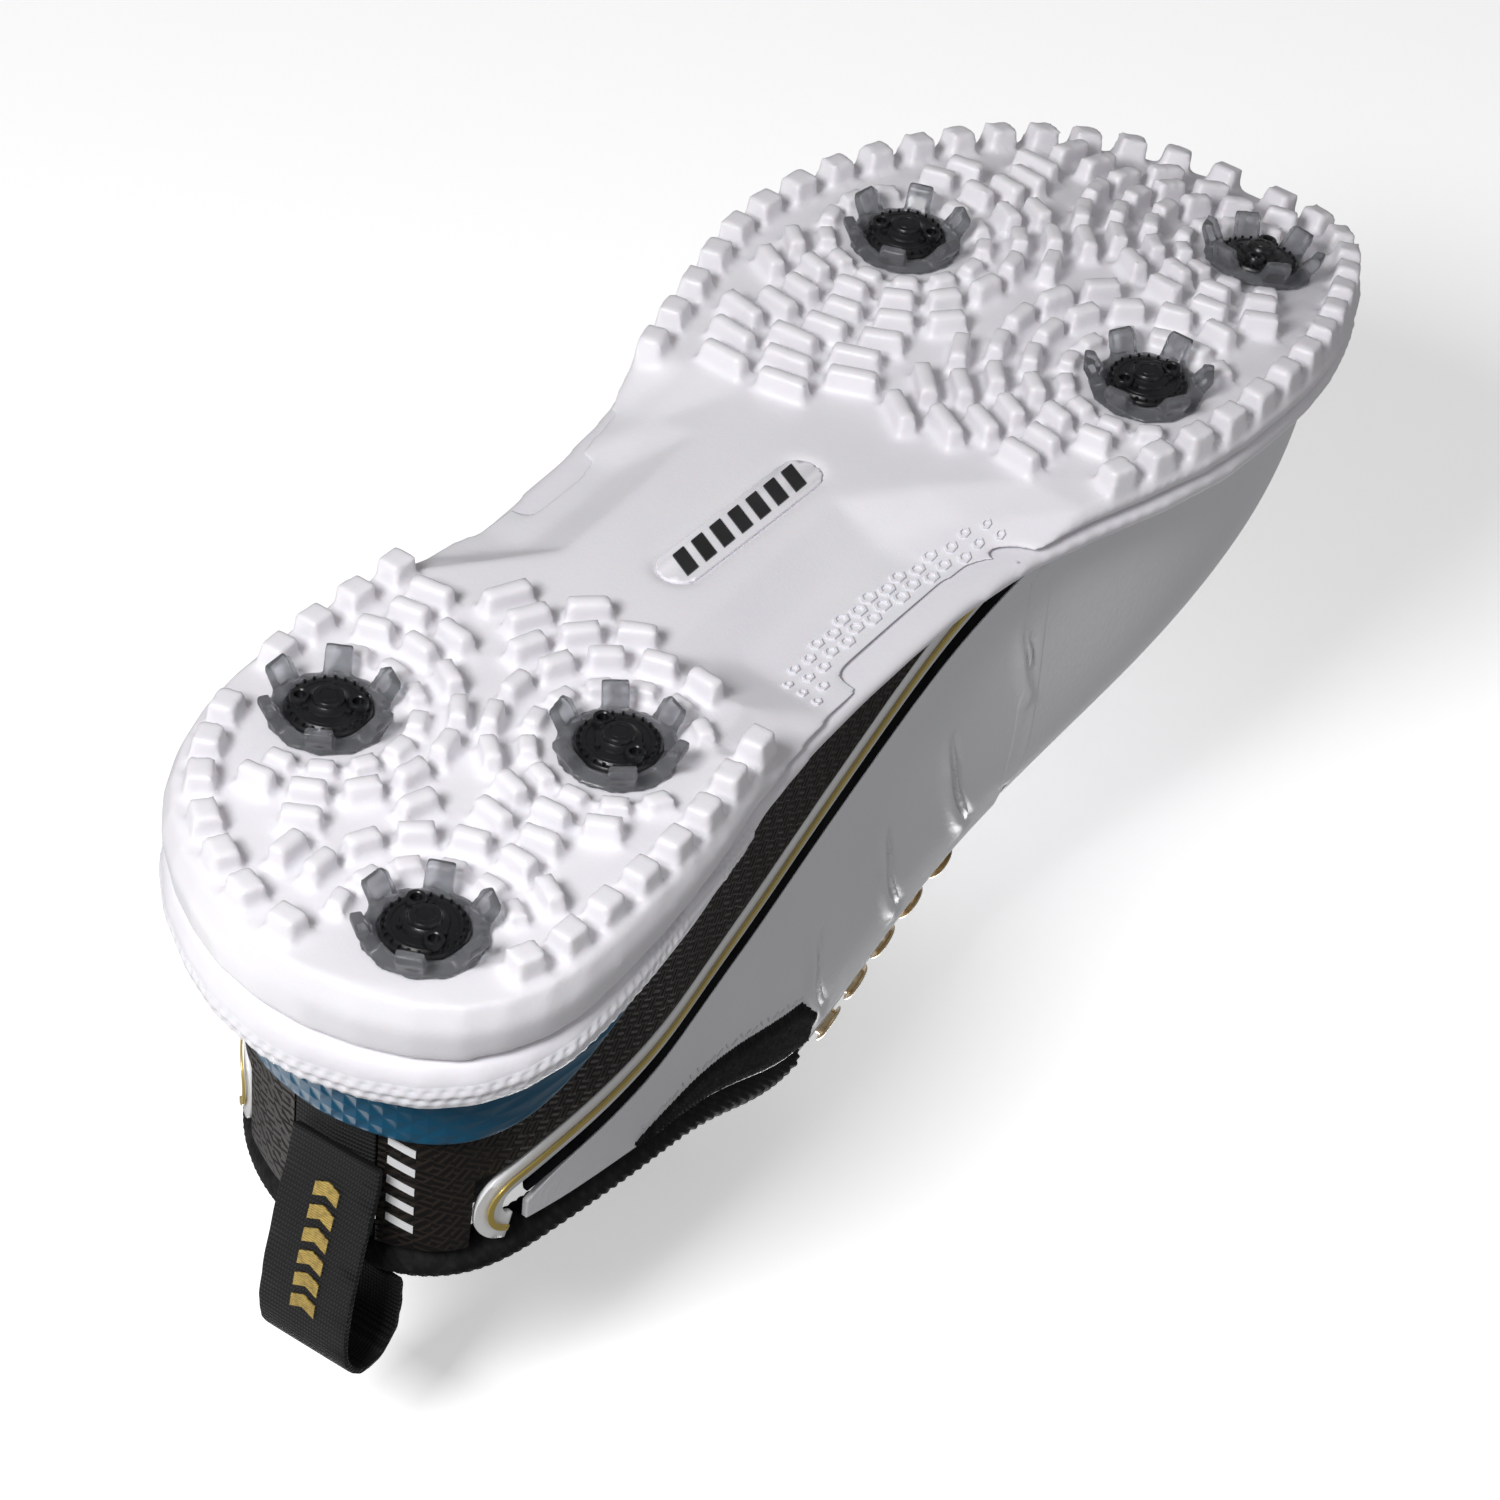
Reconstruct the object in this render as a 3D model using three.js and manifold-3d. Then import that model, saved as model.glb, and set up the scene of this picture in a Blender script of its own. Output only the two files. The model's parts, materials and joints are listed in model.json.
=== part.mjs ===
// Golf shoe for the right foot. Millimetres.
// The toe points to -Y, the medial (big toe) side is +X, up is +Z.
// The shoe stands on its cleats at z = 0.
import * as THREE from "three";
import Module from "manifold-3d";

const wasm = await Module();
wasm.setup();

// ---------------------------------------------------------------- driving dimensions
const LENGTH_SCALE = 1; // stretches the footprint along Y
const WIDTH_SCALE = 1; // stretches the footprint along X
const GAP = 0.35; // clearance between pieces that touch in the real shoe

// sole heights above the ground
const LUG_TIP_Z = 1.6; // lug tips, just above the cleat tips
const LUG_HEIGHT = 4.6;
const SOLE_Z = LUG_TIP_Z + LUG_HEIGHT; // flat bottom of the outsole
const TOE_SPRING_START_Y = -75; // the sole starts to curve up here
const TOE_SPRING_RISE = 17; // lift of the sole at the toe tip
const WAIST_RECESS = 5.5; // depth of the side recesses at the waist
const WAIST_FLAT_HALF_WIDTH = 17;
const WAIST_FLAT_X = -3;
const SEAM_SWEEP = 9; // the vamp seam runs back towards the heel as it goes down the sides

// the sole's outline from the middle of the heel back round to the middle of the toe
const HEEL_BACK = [11, 157.5];
const TOE_TIP = [11, -158.5];
const MEDIAL_OUTLINE = [[24, 155.5], [40, 147.5], [49, 132], [50, 108], [48, 86], [43.5, 63], [41.5, 38],
  [41.5, 5], [45, -22], [52, -44], [57, -66], [56.5, -98], [48.5, -126], [39, -145], [28, -155.5]];
const LATERAL_OUTLINE = [[-3, 156], [-16, 150.5], [-29, 141], [-38, 128], [-43, 112], [-44, 94],
  [-41.5, 67], [-40, 32], [-43, 0], [-50, -30], [-56, -58], [-54, -80], [-47.5, -103], [-39, -125],
  [-29, -141], [-17, -152], [-5, -157.5]];

// height curves along the shoe: [y, z], toe lift not counted
const PARTING_Z = [[-160, 12], [-70, 11.5], [20, 12.5], [70, 14], [120, 18], [158, 19]];
const RIM_Z = [[-160, 20], [-70, 19], [20, 18.5], [70, 21.5], [110, 29], [158, 36]];
const FLOOR_Z = [[-160, 14.5], [-70, 15], [-24, 16.5], [0, 17.5], [70, 20], [158, 24]];
const CROWN_Z = [[-149.9, 15], [-148, 26], [-144, 36], [-135, 46], [-122, 56], [-105, 65], [-85, 75],
  [-55, 88], [-30, 104], [-6, 120], [14, 133], [60, 150], [110, 158], [158, 160]];
const TOPLINE_Z = [[-40, 108], [10, 123], [32, 118], [58, 104], [85, 94], [115, 89], [158, 86]];

// insets from the outline
const FEATHER_INSET = 8.6; // outer face of the upper where it enters the midsole
const RIM_TOP_INSET = 4.8;
const RIM_INNER_INSET = 6.4;
const HEEL_FLARE = 8; // extra inset of the midsole top and the upper behind the ankle
const RIDGE_SHIFT = 7; // the instep ridge lies towards the medial side
const HEEL_SPINE_Y = 103; // the heel walls lean towards a point on this line

// layers of the upper, measured outwards from the base surface
const LINING = [-4.2, -2.9];
const STIFFENER = [-2.2, -1.0];
const PANEL = [0, 1.2];
const PINSTRIPE = [1.5, 1.9];
const STABILISER = [1.9, 4.2];
const TONGUE = [-9.4, -6.4];
const BULGE = 3.2; // how far the sides swell out

// seams, as distances along the feather line from the heel back and heights
const THROAT_FRONT_Y = -38;
const STRIPE_HALF_WIDTH = 2.9;
const BLACK_LINE_WIDTH = 3.2;
const STRIPE_PATH = [[200, 4], [186, 12.5], [172, 20], [160, 26], [138, 38], [115, 48], [95, 55.5],
  [75, 60.5], [52, 64], [34, 65.5]];
const HEEL_STRIP_HALF_WIDTH = 8.5;
const COLLAR_EDGE_DROP = 8.5; // from the collar's top down to the edge of the panels
const STABILISER_TOP_Z = 49;

// cleats: [name, x, y]
const CLEATS = [["toe", 26.5, -122.5], ["ball_medial", 35, -66.5], ["ball_lateral", -25.5, -75],
  ["heel_front", 21, 80], ["heel_side", -22, 104.5], ["heel_back", 24, 136.5]];
const CLEAT_HUB_R = 7.6;
const CLEAT_LEG_TIP_R = 12.2;
const CLEAT_LEG_WIDTH = 4.8;
const CLEAT_LEGS = 6;
const CLEAT_STEM_R = 3;
const CLEAT_LOBE_R = 4.6;
const CLEAT_CLEAR_R = CLEAT_LEG_TIP_R + 0.7; // lug-free circle
const POCKET_R = 6.8;
const POCKET_DEPTH = 5.6;
const RECEPTACLE_R = POCKET_R - GAP;

// lugs
const RING_PITCH = 6.7;
const LUG_WIDTH = 4.1; // across the ring
const LUG_GAP = 1.9; // along the ring
const LUG_CLEARANCE = 0.9; // least gap between lugs of different rings
const LUG_TAPER = 0.74;
const EDGE_LUG_SPACING = 9;

// eyelets
const EYELET_ROWS = 5;
const EYELET_HOLE_R = 2.8;
const EYELET_R = 4.5;

// pull loop
const LOOP_WIDTH = 19;
const LOOP_THICK = 1.3;

const MATERIALS = {
  whiteRubber: { color: 0xf1eef2, roughness: 0.55, metalness: 0 },
  whiteFoam: { color: 0xeceaf0, roughness: 0.6, metalness: 0 },
  blueTpu: { color: 0x1c5a80, roughness: 0.3, metalness: 0 },
  whiteLeather: { color: 0xededf0, roughness: 0.5, metalness: 0 },
  carbonWeave: { color: 0x1b1715, roughness: 0.35, metalness: 0 },
  knit: { color: 0x101012, roughness: 0.9, metalness: 0 },
  webbing: { color: 0x161618, roughness: 0.8, metalness: 0 },
  gold: { color: 0xb8983f, roughness: 0.4, metalness: 0.3 },
  eyeletMetal: { color: 0xc8ab74, roughness: 0.3, metalness: 1 },
  cleatHub: { color: 0x16181b, roughness: 0.35, metalness: 0 },
  cleatClear: { color: 0x6f7276, roughness: 0.2, metalness: 0 },
  receptacle: { color: 0x2a2c30, roughness: 0.5, metalness: 0 },
  board: { color: 0xb9a888, roughness: 0.8, metalness: 0 },
  shank: { color: 0x303236, roughness: 0.5, metalness: 0 },
  footbed: { color: 0x2c2f36, roughness: 0.85, metalness: 0 },
  lining: { color: 0x1d1e22, roughness: 0.9, metalness: 0 },
  stiffener: { color: 0xd8d4cc, roughness: 0.7, metalness: 0 },
  badge: { color: 0xc9c7cf, roughness: 0.35, metalness: 0 },
};

// ---------------------------------------------------------------- small helpers
const v3 = (x, y, z) => new THREE.Vector3(x, y, z);
const mix = (a, b, t) => a + (b - a) * t;
const clamp = (x, lo, hi) => Math.min(hi, Math.max(lo, x));

function smooth(lo, hi, x) {
  const t = clamp((x - lo) / (hi - lo), 0, 1);
  return t * t * (3 - 2 * t);
}

// smooth curve through points sorted by their first value
function throughPoints(points) {
  const last = points.length - 1;
  const slope = points.map((p, i) => {
    const a = points[Math.max(i - 1, 0)];
    const b = points[Math.min(i + 1, last)];
    return (b[1] - a[1]) / (b[0] - a[0]);
  });
  return (x) => {
    const at = clamp(x, points[0][0], points[last][0]);
    let i = 0;
    while (i < last - 1 && at > points[i + 1][0]) i += 1;
    const span = points[i + 1][0] - points[i][0];
    const t = (at - points[i][0]) / span;
    const t2 = t * t;
    const t3 = t2 * t;
    return points[i][1] * (2 * t3 - 3 * t2 + 1) + slope[i] * span * (t3 - 2 * t2 + t)
      + points[i + 1][1] * (3 * t2 - 2 * t3) + slope[i + 1] * span * (t3 - t2);
  };
}

function scaledKeys(points) {
  return points.map(([y, z]) => [y * LENGTH_SCALE, z]);
}

const partingCurve = throughPoints(scaledKeys(PARTING_Z));
const rimCurve = throughPoints(scaledKeys(RIM_Z));
const floorCurve = throughPoints(scaledKeys(FLOOR_Z));
const crownCurve = throughPoints(scaledKeys(CROWN_Z));
const toplineCurve = throughPoints(scaledKeys(TOPLINE_Z));

function toeLift(y) {
  const start = TOE_SPRING_START_Y * LENGTH_SCALE;
  const t = Math.max(0, (start - y) / (start - TOE_TIP[1] * LENGTH_SCALE));
  return TOE_SPRING_RISE * t ** 1.8;
}

function toeLiftSlope(y) {
  const step = 0.5;
  return (toeLift(y + step) - toeLift(y - step)) / (2 * step);
}

const partingZ = (y) => partingCurve(y) + toeLift(y);
const rimZ = (y) => rimCurve(y) + toeLift(y);
const floorZ = (y) => floorCurve(y) + toeLift(y);
const crownZ = (y) => crownCurve(y) + toeLift(y);

// ---------------------------------------------------------------- footprint
const SIDES = { medial: 1, lateral: -1 };

function outlineCurve(side) {
  const list = side > 0 ? MEDIAL_OUTLINE : LATERAL_OUTLINE;
  const points = [HEEL_BACK, ...list, TOE_TIP].map(([x, y]) => v3(x * WIDTH_SCALE, y * LENGTH_SCALE, 0));
  return new THREE.CatmullRomCurve3(points, false, "centripetal");
}

const RIM_SAMPLES = 220;

// one side of the footprint moved inwards by inset, as evenly spaced points from heel back to toe tip
function insetSide(side, inset) {
  const curve = outlineCurve(side);
  const points = [];
  for (let i = 0; i <= RIM_SAMPLES; i += 1) {
    const u = i / RIM_SAMPLES;
    const p = curve.getPointAt(u);
    let inward = v3(-1, 0, 0);
    if (i === 0) inward = v3(0, -1, 0);
    else if (i === RIM_SAMPLES) inward = v3(0, 1, 0);
    else {
      const t = curve.getTangentAt(u);
      inward = side > 0 ? v3(t.y, -t.x, 0) : v3(-t.y, t.x, 0);
      if (inward.dot(v3(0, -p.y, 0)) < 0 && Math.abs(t.y) < 0.1) inward.negate();
    }
    const depth = clamp((inset - 2) / (FEATHER_INSET - 2), 0, 1);
    const flare = HEEL_FLARE * smooth(45, 140, p.y / LENGTH_SCALE) * depth;
    points.push(p.addScaledVector(inward, inset + flare));
  }
  return points;
}

const insetCache = new Map();

function rim(side, inset) {
  const key = `${side}:${inset}`;
  if (!insetCache.has(key)) insetCache.set(key, insetSide(side, inset));
  return insetCache.get(key);
}

// x of one side of the inset footprint at a given y
function rimX(side, inset, y) {
  const points = rim(side, inset);
  for (let i = 0; i < points.length - 1; i += 1) {
    const a = points[i];
    const b = points[i + 1];
    if (a.y >= y && b.y <= y && a.y > b.y) return mix(a.x, b.x, (a.y - y) / (a.y - b.y));
  }
  return y > 0 ? points[0].x : points[points.length - 1].x;
}

function rimEnds(inset) {
  const points = rim(1, inset);
  return [points[0].y, points[points.length - 1].y];
}

// stations bunch up towards the heel and the toe
function stationY(inset, t) {
  const [heel, toe] = rimEnds(inset);
  const eased = mix(t, 0.5 - 0.5 * Math.cos(Math.PI * t), 0.85);
  return mix(heel, toe, eased);
}

// a point of the inset footprint: t runs heel to toe, w runs lateral to medial
function footPoint(inset, t, w) {
  const y = stationY(inset, t);
  const end = 0.4;
  const [heel, toe] = rimEnds(inset);
  const yEdge = clamp(y, toe + end, heel - end);
  const lateral = rimX(-1, inset, yEdge);
  const medial = rimX(1, inset, yEdge);
  return v3(mix(lateral, medial, w), y, 0);
}

// ---------------------------------------------------------------- closed solids from grids
function finish(positions, indices) {
  const geometry = new THREE.BufferGeometry();
  geometry.setAttribute("position", new THREE.Float32BufferAttribute(positions, 3));
  let volume = 0;
  const at = (k) => v3(positions[3 * k], positions[3 * k + 1], positions[3 * k + 2]);
  for (let i = 0; i < indices.length; i += 3) {
    volume += at(indices[i]).dot(at(indices[i + 1]).cross(at(indices[i + 2])));
  }
  const turned = (_, i) => (i % 3 ? [] : [indices[i], indices[i + 2], indices[i + 1]]);
  const order = volume >= 0 ? indices : indices.flatMap(turned);
  geometry.setIndex(order);
  geometry.computeVertexNormals();
  return geometry;
}

// the same geometry with every face turned outwards
function outward(geometry) {
  const merged = mergeByPosition(geometry);
  return finish(merged.positions, merged.indices);
}

// vertices round the edge of an (nu+1) x (nv+1) grid, in order
function gridEdge(nu, nv) {
  const edge = [];
  for (let i = 0; i < nu; i += 1) edge.push([i, 0]);
  for (let j = 0; j < nv; j += 1) edge.push([nu, j]);
  for (let i = nu; i > 0; i -= 1) edge.push([i, nv]);
  for (let j = nv; j > 0; j -= 1) edge.push([0, j]);
  return edge;
}

// a solid with a full grid at each end and rings of edge points between them
function stackedSolid(nu, nv, layers) {
  const positions = [];
  const indices = [];
  const put = (p) => {
    positions.push(p.x, p.y, p.z);
    return positions.length / 3 - 1;
  };
  const fullGrid = (layer) => {
    const ids = [];
    for (let i = 0; i <= nu; i += 1) {
      ids.push([]);
      for (let j = 0; j <= nv; j += 1) ids[i].push(put(layer(i / nu, j / nv)));
    }
    return ids;
  };
  const edge = gridEdge(nu, nv);
  const first = fullGrid(layers[0]);
  const last = fullGrid(layers[layers.length - 1]);
  const rings = layers.map((layer, k) => {
    if (k === 0) return edge.map(([i, j]) => first[i][j]);
    if (k === layers.length - 1) return edge.map(([i, j]) => last[i][j]);
    return edge.map(([i, j]) => put(layer(i / nu, j / nv)));
  });
  const quad = (a, b, c, d) => indices.push(a, b, c, a, c, d);
  for (let i = 0; i < nu; i += 1) {
    for (let j = 0; j < nv; j += 1) {
      quad(first[i][j], first[i][j + 1], first[i + 1][j + 1], first[i + 1][j]);
      quad(last[i][j], last[i + 1][j], last[i + 1][j + 1], last[i][j + 1]);
    }
  }
  for (let k = 0; k < rings.length - 1; k += 1) {
    for (let e = 0; e < edge.length; e += 1) {
      const n = (e + 1) % edge.length;
      quad(rings[k][e], rings[k][n], rings[k + 1][n], rings[k + 1][e]);
    }
  }
  return finish(positions, indices);
}

// a shell between two offsets of the surface fn(a, b)
function shell(fn, nu, nv, offsets) {
  const normalAt = (a, b) => {
    const da = 0.004;
    const along = fn(Math.min(1, a + da), b).sub(fn(Math.max(0, a - da), b));
    const across = fn(a, Math.min(1, b + da)).sub(fn(a, Math.max(0, b - da)));
    const normal = along.cross(across).normalize();
    const p = fn(a, b);
    const centre = v3(spineX(p.y), clamp(p.y, -110 * LENGTH_SCALE, HEEL_SPINE_Y * LENGTH_SCALE), 38);
    return normal.dot(p.sub(centre)) < 0 ? normal.negate() : normal;
  };
  const layerAt = (offset) => (a, b) => fn(a, b).addScaledVector(normalAt(a, b), offset);
  return stackedSolid(nu, nv, [layerAt(offsets[0]), layerAt(offsets[1])]);
}

// ---------------------------------------------------------------- booleans
function toManifold(geometry) {
  const merged = mergeByPosition(geometry);
  return new wasm.Manifold(new wasm.Mesh({
    numProp: 3,
    vertProperties: new Float32Array(merged.positions),
    triVerts: new Uint32Array(merged.indices),
  }));
}

function mergeByPosition(geometry) {
  const flat = geometry.index ? geometry.toNonIndexed() : geometry;
  const source = flat.getAttribute("position");
  const seen = new Map();
  const positions = [];
  const indices = [];
  for (let i = 0; i < source.count; i += 1) {
    const p = [source.getX(i), source.getY(i), source.getZ(i)];
    const key = p.map((c) => Math.round(c * 1e4)).join(",");
    if (!seen.has(key)) {
      seen.set(key, positions.length / 3);
      positions.push(...p);
    }
    indices.push(seen.get(key));
  }
  const kept = [];
  for (let i = 0; i < indices.length; i += 3) {
    const [a, b, c] = indices.slice(i, i + 3);
    if (a !== b && b !== c && a !== c) kept.push(a, b, c);
  }
  return { positions, indices: kept };
}

function fromManifold(solid) {
  const mesh = solid.getMesh();
  const geometry = new THREE.BufferGeometry();
  geometry.setAttribute("position", new THREE.Float32BufferAttribute(mesh.vertProperties, 3));
  geometry.setIndex(Array.from(mesh.triVerts));
  geometry.computeVertexNormals();
  return geometry;
}

function unite(base, additions) {
  return additions.reduce((solid, geometry) => solid.add(toManifold(geometry)), base);
}

function cut(base, tools) {
  return tools.reduce((solid, geometry) => solid.subtract(toManifold(geometry)), base);
}

function cylinder(radius, z0, z1, segments, radiusTop = radius) {
  const geometry = new THREE.CylinderGeometry(radiusTop, radius, z1 - z0, segments);
  geometry.rotateX(Math.PI / 2);
  geometry.translate(0, 0, (z0 + z1) / 2);
  return geometry;
}

function lathe(profile, segments) {
  const geometry = new THREE.LatheGeometry(profile.map(([r, z]) => new THREE.Vector2(r, z)), segments);
  geometry.rotateX(Math.PI / 2);
  return outward(geometry);
}

// ---------------------------------------------------------------- sole
function spineX(y) {
  const at = clamp(y, TOE_TIP[1] * LENGTH_SCALE + 8, HEEL_BACK[1] * LENGTH_SCALE - 8);
  return (rimX(1, 0, at) + rimX(-1, 0, at)) / 2;
}

// how far into the waist recess a place of the bottom lies, 0 to 1
function waistRecess(placeX, y) {
  const x = placeX / WIDTH_SCALE;
  const side = Math.abs(x - WAIST_FLAT_X);
  const past = side - WAIST_FLAT_HALF_WIDTH;
  const frontEdge = (x > WAIST_FLAT_X ? -6 : 4) * LENGTH_SCALE - 0.8 * past;
  const backEdge = (x > WAIST_FLAT_X ? 45 : 47) * LENGTH_SCALE + 0.75 * past;
  const along = smooth(frontEdge, frontEdge + 8, y) * (1 - smooth(backEdge - 8, backEdge, y));
  return along * smooth(-1, 7, past);
}

function soleBottomZ(x, y) {
  return SOLE_Z + toeLift(y) + WAIST_RECESS * waistRecess(x, y);
}

function lugBlock({ x, y, angle, length, width, height }) {
  const root = 1.4;
  const geometry = new THREE.BoxGeometry(length, width, height + root);
  const p = geometry.getAttribute("position");
  for (let i = 0; i < p.count; i += 1) {
    const tip = p.getZ(i) < 0;
    if (tip) p.setXY(i, p.getX(i) * mix(LUG_TAPER, 1, 0.35), p.getY(i) * LUG_TAPER);
  }
  geometry.translate(0, 0, (root - height) / 2);
  geometry.rotateZ(angle);
  geometry.rotateX(Math.atan(toeLiftSlope(y)));
  geometry.translate(x, y, SOLE_Z + toeLift(y));
  return geometry;
}

function insideFootprint(x, y, margin) {
  const [heel, toe] = rimEnds(margin);
  if (y > heel || y < toe) return false;
  return x < rimX(1, margin, y) && x > rimX(-1, margin, y);
}

function inLugZone(placeX, y) {
  const x = placeX / WIDTH_SCALE;
  const heelFront = (53 + 0.008 * (x - 2) ** 2) * LENGTH_SCALE;
  const ballBack = (x > 6 ? -20 - 0.45 * (x - 6) : -20 + 0.12 * (6 - x)) * LENGTH_SCALE;
  return y > heelFront || y < ballBack;
}

// corners, edge middles and centre of a lug's root
function lugProbe(lug) {
  const points = [];
  [-1, 0, 1].forEach((i) => [-1, 0, 1].forEach((j) => {
    const u = (i * lug.length) / 2;
    const v = (j * lug.width) / 2;
    points.push([lug.x + u * Math.cos(lug.angle) - v * Math.sin(lug.angle),
      lug.y + u * Math.sin(lug.angle) + v * Math.cos(lug.angle)]);
  }));
  return points;
}

function lugCovers(lug, [x, y], margin) {
  const dx = x - lug.x;
  const dy = y - lug.y;
  const u = dx * Math.cos(lug.angle) + dy * Math.sin(lug.angle);
  const v = dy * Math.cos(lug.angle) - dx * Math.sin(lug.angle);
  return Math.abs(u) < lug.length / 2 + margin && Math.abs(v) < lug.width / 2 + margin;
}

function lugsClash(a, b) {
  if (Math.hypot(a.x - b.x, a.y - b.y) > (a.length + b.length) / 2 + 5) return false;
  return lugProbe(a).some((p) => lugCovers(b, p, LUG_CLEARANCE))
    || lugProbe(b).some((p) => lugCovers(a, p, LUG_CLEARANCE));
}

function clearOfCleats(lug) {
  return CLEATS.every(([, cx, cy]) => lugProbe(lug).every(([x, y]) => (
    Math.hypot(x - cx * WIDTH_SCALE, y - cy * LENGTH_SCALE) > CLEAT_CLEAR_R)));
}

// a row of square teeth along the edge of the heel and the forefoot
function edgeLugs() {
  const lugs = [];
  Object.values(SIDES).forEach((side) => {
    const points = rim(side, 4.4);
    let travelled = EDGE_LUG_SPACING * 0.5;
    for (let i = 1; i < points.length - 1; i += 1) {
      travelled += points[i].distanceTo(points[i - 1]);
      const { x, y } = points[i];
      const along = points[i + 1].clone().sub(points[i - 1]);
      const angle = Math.atan2(along.y, along.x);
      const lug = { x, y, angle, length: EDGE_LUG_SPACING - 2.5, width: 6, height: LUG_HEIGHT * 0.92 };
      if (travelled >= EDGE_LUG_SPACING && inLugZone(x, y) && clearOfCleats(lug)) {
        travelled = 0;
        lugs.push(lug);
      }
    }
  });
  return lugs;
}

// lugs in rings round each cleat; a lug belongs to the nearest cleat
function ringLugs(taken) {
  const lugs = [];
  const centres = CLEATS.map(([, x, y]) => [x * WIDTH_SCALE, y * LENGTH_SCALE]);
  for (let ring = 0; ring < 9; ring += 1) {
    centres.forEach(([cx, cy], own) => {
      const radius = CLEAT_CLEAR_R + LUG_WIDTH / 2 + 0.3 + ring * RING_PITCH;
      const target = ring === 0 ? 5.6 : Math.min(6 + ring * 1.1, 11);
      const count = Math.round((2 * Math.PI * radius) / (target + LUG_GAP));
      const length = (2 * Math.PI * radius) / count - LUG_GAP;
      for (let k = 0; k < count; k += 1) {
        const turn = (2 * Math.PI * (k + (ring % 2) / 2)) / count;
        const x = cx + radius * Math.cos(turn);
        const y = cy + radius * Math.sin(turn);
        const height = ring === 0 ? LUG_HEIGHT * 0.62 : LUG_HEIGHT;
        const lug = { x, y, angle: turn + Math.PI / 2, length, width: LUG_WIDTH, height };
        const farther = ([ax, ay], n) => n === own || Math.hypot(x - ax, y - ay) > radius - 1.5;
        const nearest = centres.every(farther);
        if (nearest && insideFootprint(x, y, 6.4) && inLugZone(x, y) && clearOfCleats(lug)
          && ![...taken, ...lugs].some((other) => lugsClash(lug, other))) lugs.push(lug);
      }
    });
  }
  return lugs;
}

function cleatPlace(geometry, x, y) {
  const cx = x * WIDTH_SCALE;
  const cy = y * LENGTH_SCALE;
  geometry.rotateX(Math.atan(toeLiftSlope(cy)));
  geometry.translate(cx, cy, SOLE_Z + toeLift(cy));
  return geometry;
}

const BADGE = { length: 44, width: 8.5, depth: 1.1, x: 0, y: 15 };

function roundedBar(length, width, z0, z1) {
  const shape = new THREE.Shape();
  const r = width / 2 - 0.01;
  const half = length / 2 - r;
  shape.absarc(0, half, r, 0, Math.PI, false);
  shape.absarc(0, -half, r, Math.PI, 2 * Math.PI, false);
  const options = { depth: z1 - z0, bevelEnabled: false, curveSegments: 8 };
  const geometry = new THREE.ExtrudeGeometry(shape, options);
  geometry.translate(0, 0, z0);
  return geometry;
}

function badgePlace(geometry) {
  geometry.rotateZ(THREE.MathUtils.degToRad(1.5));
  geometry.translate(BADGE.x, BADGE.y * LENGTH_SCALE, SOLE_Z);
  return geometry;
}

function outsole() {
  const bottom = (t, w) => {
    const p = footPoint(2.2, t, w);
    p.z = soleBottomZ(p.x, p.y) + (Math.abs(w - 0.5) > 0.49 ? 0.5 : 0);
    return p;
  };
  const ring = (inset, height) => (t, w) => {
    const p = footPoint(inset, t, w);
    const low = soleBottomZ(p.x, p.y);
    p.z = mix(low, partingZ(p.y), height);
    return p;
  };
  const top = (t, w) => {
    const p = footPoint(1.6, t, w);
    p.z = partingZ(p.y);
    return p;
  };
  const plate = stackedSolid(32, 8, [bottom, ring(0.6, 0.4), top]);
  const edge = edgeLugs();
  const lugs = [...edge, ...ringLugs(edge)].map(lugBlock);
  const pockets = CLEATS.map(([, x, y]) => cleatPlace(cylinder(POCKET_R, -3, POCKET_DEPTH, 16), x, y));
  const recessLength = BADGE.length + 2 * GAP;
  const badgeRecess = badgePlace(roundedBar(recessLength, BADGE.width + 2 * GAP, -1, BADGE.depth + GAP));
  const solid = cut(unite(toManifold(plate), lugs), [...pockets, badgeRecess]);
  return fromManifold(solid);
}

function badge() {
  return badgePlace(roundedBar(BADGE.length, BADGE.width, 0.1, BADGE.depth));
}

function midsole() {
  const layer = (inset, height) => (t, w) => {
    const p = footPoint(inset, t, w);
    p.z = height(p.y);
    return p;
  };
  const low = (y) => partingZ(y) + GAP;
  const floor = (y) => floorZ(y) - 1.5;
  const solid = stackedSolid(28, 2, [
    layer(1.8, low),
    layer(0.3, (y) => mix(low(y), rimZ(y), 0.25)),
    layer(2, (y) => mix(low(y), rimZ(y), 0.7)),
    layer(RIM_TOP_INSET, rimZ),
    layer(RIM_INNER_INSET, (y) => rimZ(y) - 0.4),
    layer(RIM_INNER_INSET + 0.4, floor),
    layer(RIM_INNER_INSET + 0.8, floor),
  ]);
  const shankSlot = shankGeometry(GAP);
  return fromManifold(cut(toManifold(solid), [shankSlot]));
}

// a thin stiff bar under the arch
function shankGeometry(grow) {
  const y0 = -24 * LENGTH_SCALE - grow;
  const y1 = 74 * LENGTH_SCALE + grow;
  const half = 9 + grow;
  const surface = (top) => (t, w) => {
    const y = mix(y1, y0, t);
    const seat = floorZ(y) - 1.5;
    const high = grow > 0 ? seat + 2 : seat - 0.3;
    return v3(WAIST_FLAT_X + 3 + mix(-half, half, w), y, top ? high : seat - 2 - grow);
  };
  return stackedSolid(8, 1, [surface(false), surface(true)]);
}

// a full-length sheet that lies inside the feather line
function innerSheet(inset, lift, thickness, dish) {
  const layer = (up, z) => (t, w) => {
    const p = footPoint(up, t, w);
    const edge = Math.abs(w - 0.5) * 2;
    p.z = floorZ(p.y) + z + dish * edge ** 4;
    return p;
  };
  return stackedSolid(15, 4, [layer(inset, lift), layer(inset + 0.6, lift + thickness)]);
}

// ---------------------------------------------------------------- upper surface
const SECTION_SIDE = 0.56; // below 1 makes the sides steeper
const SECTION_TOP = 0.95;

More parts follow.
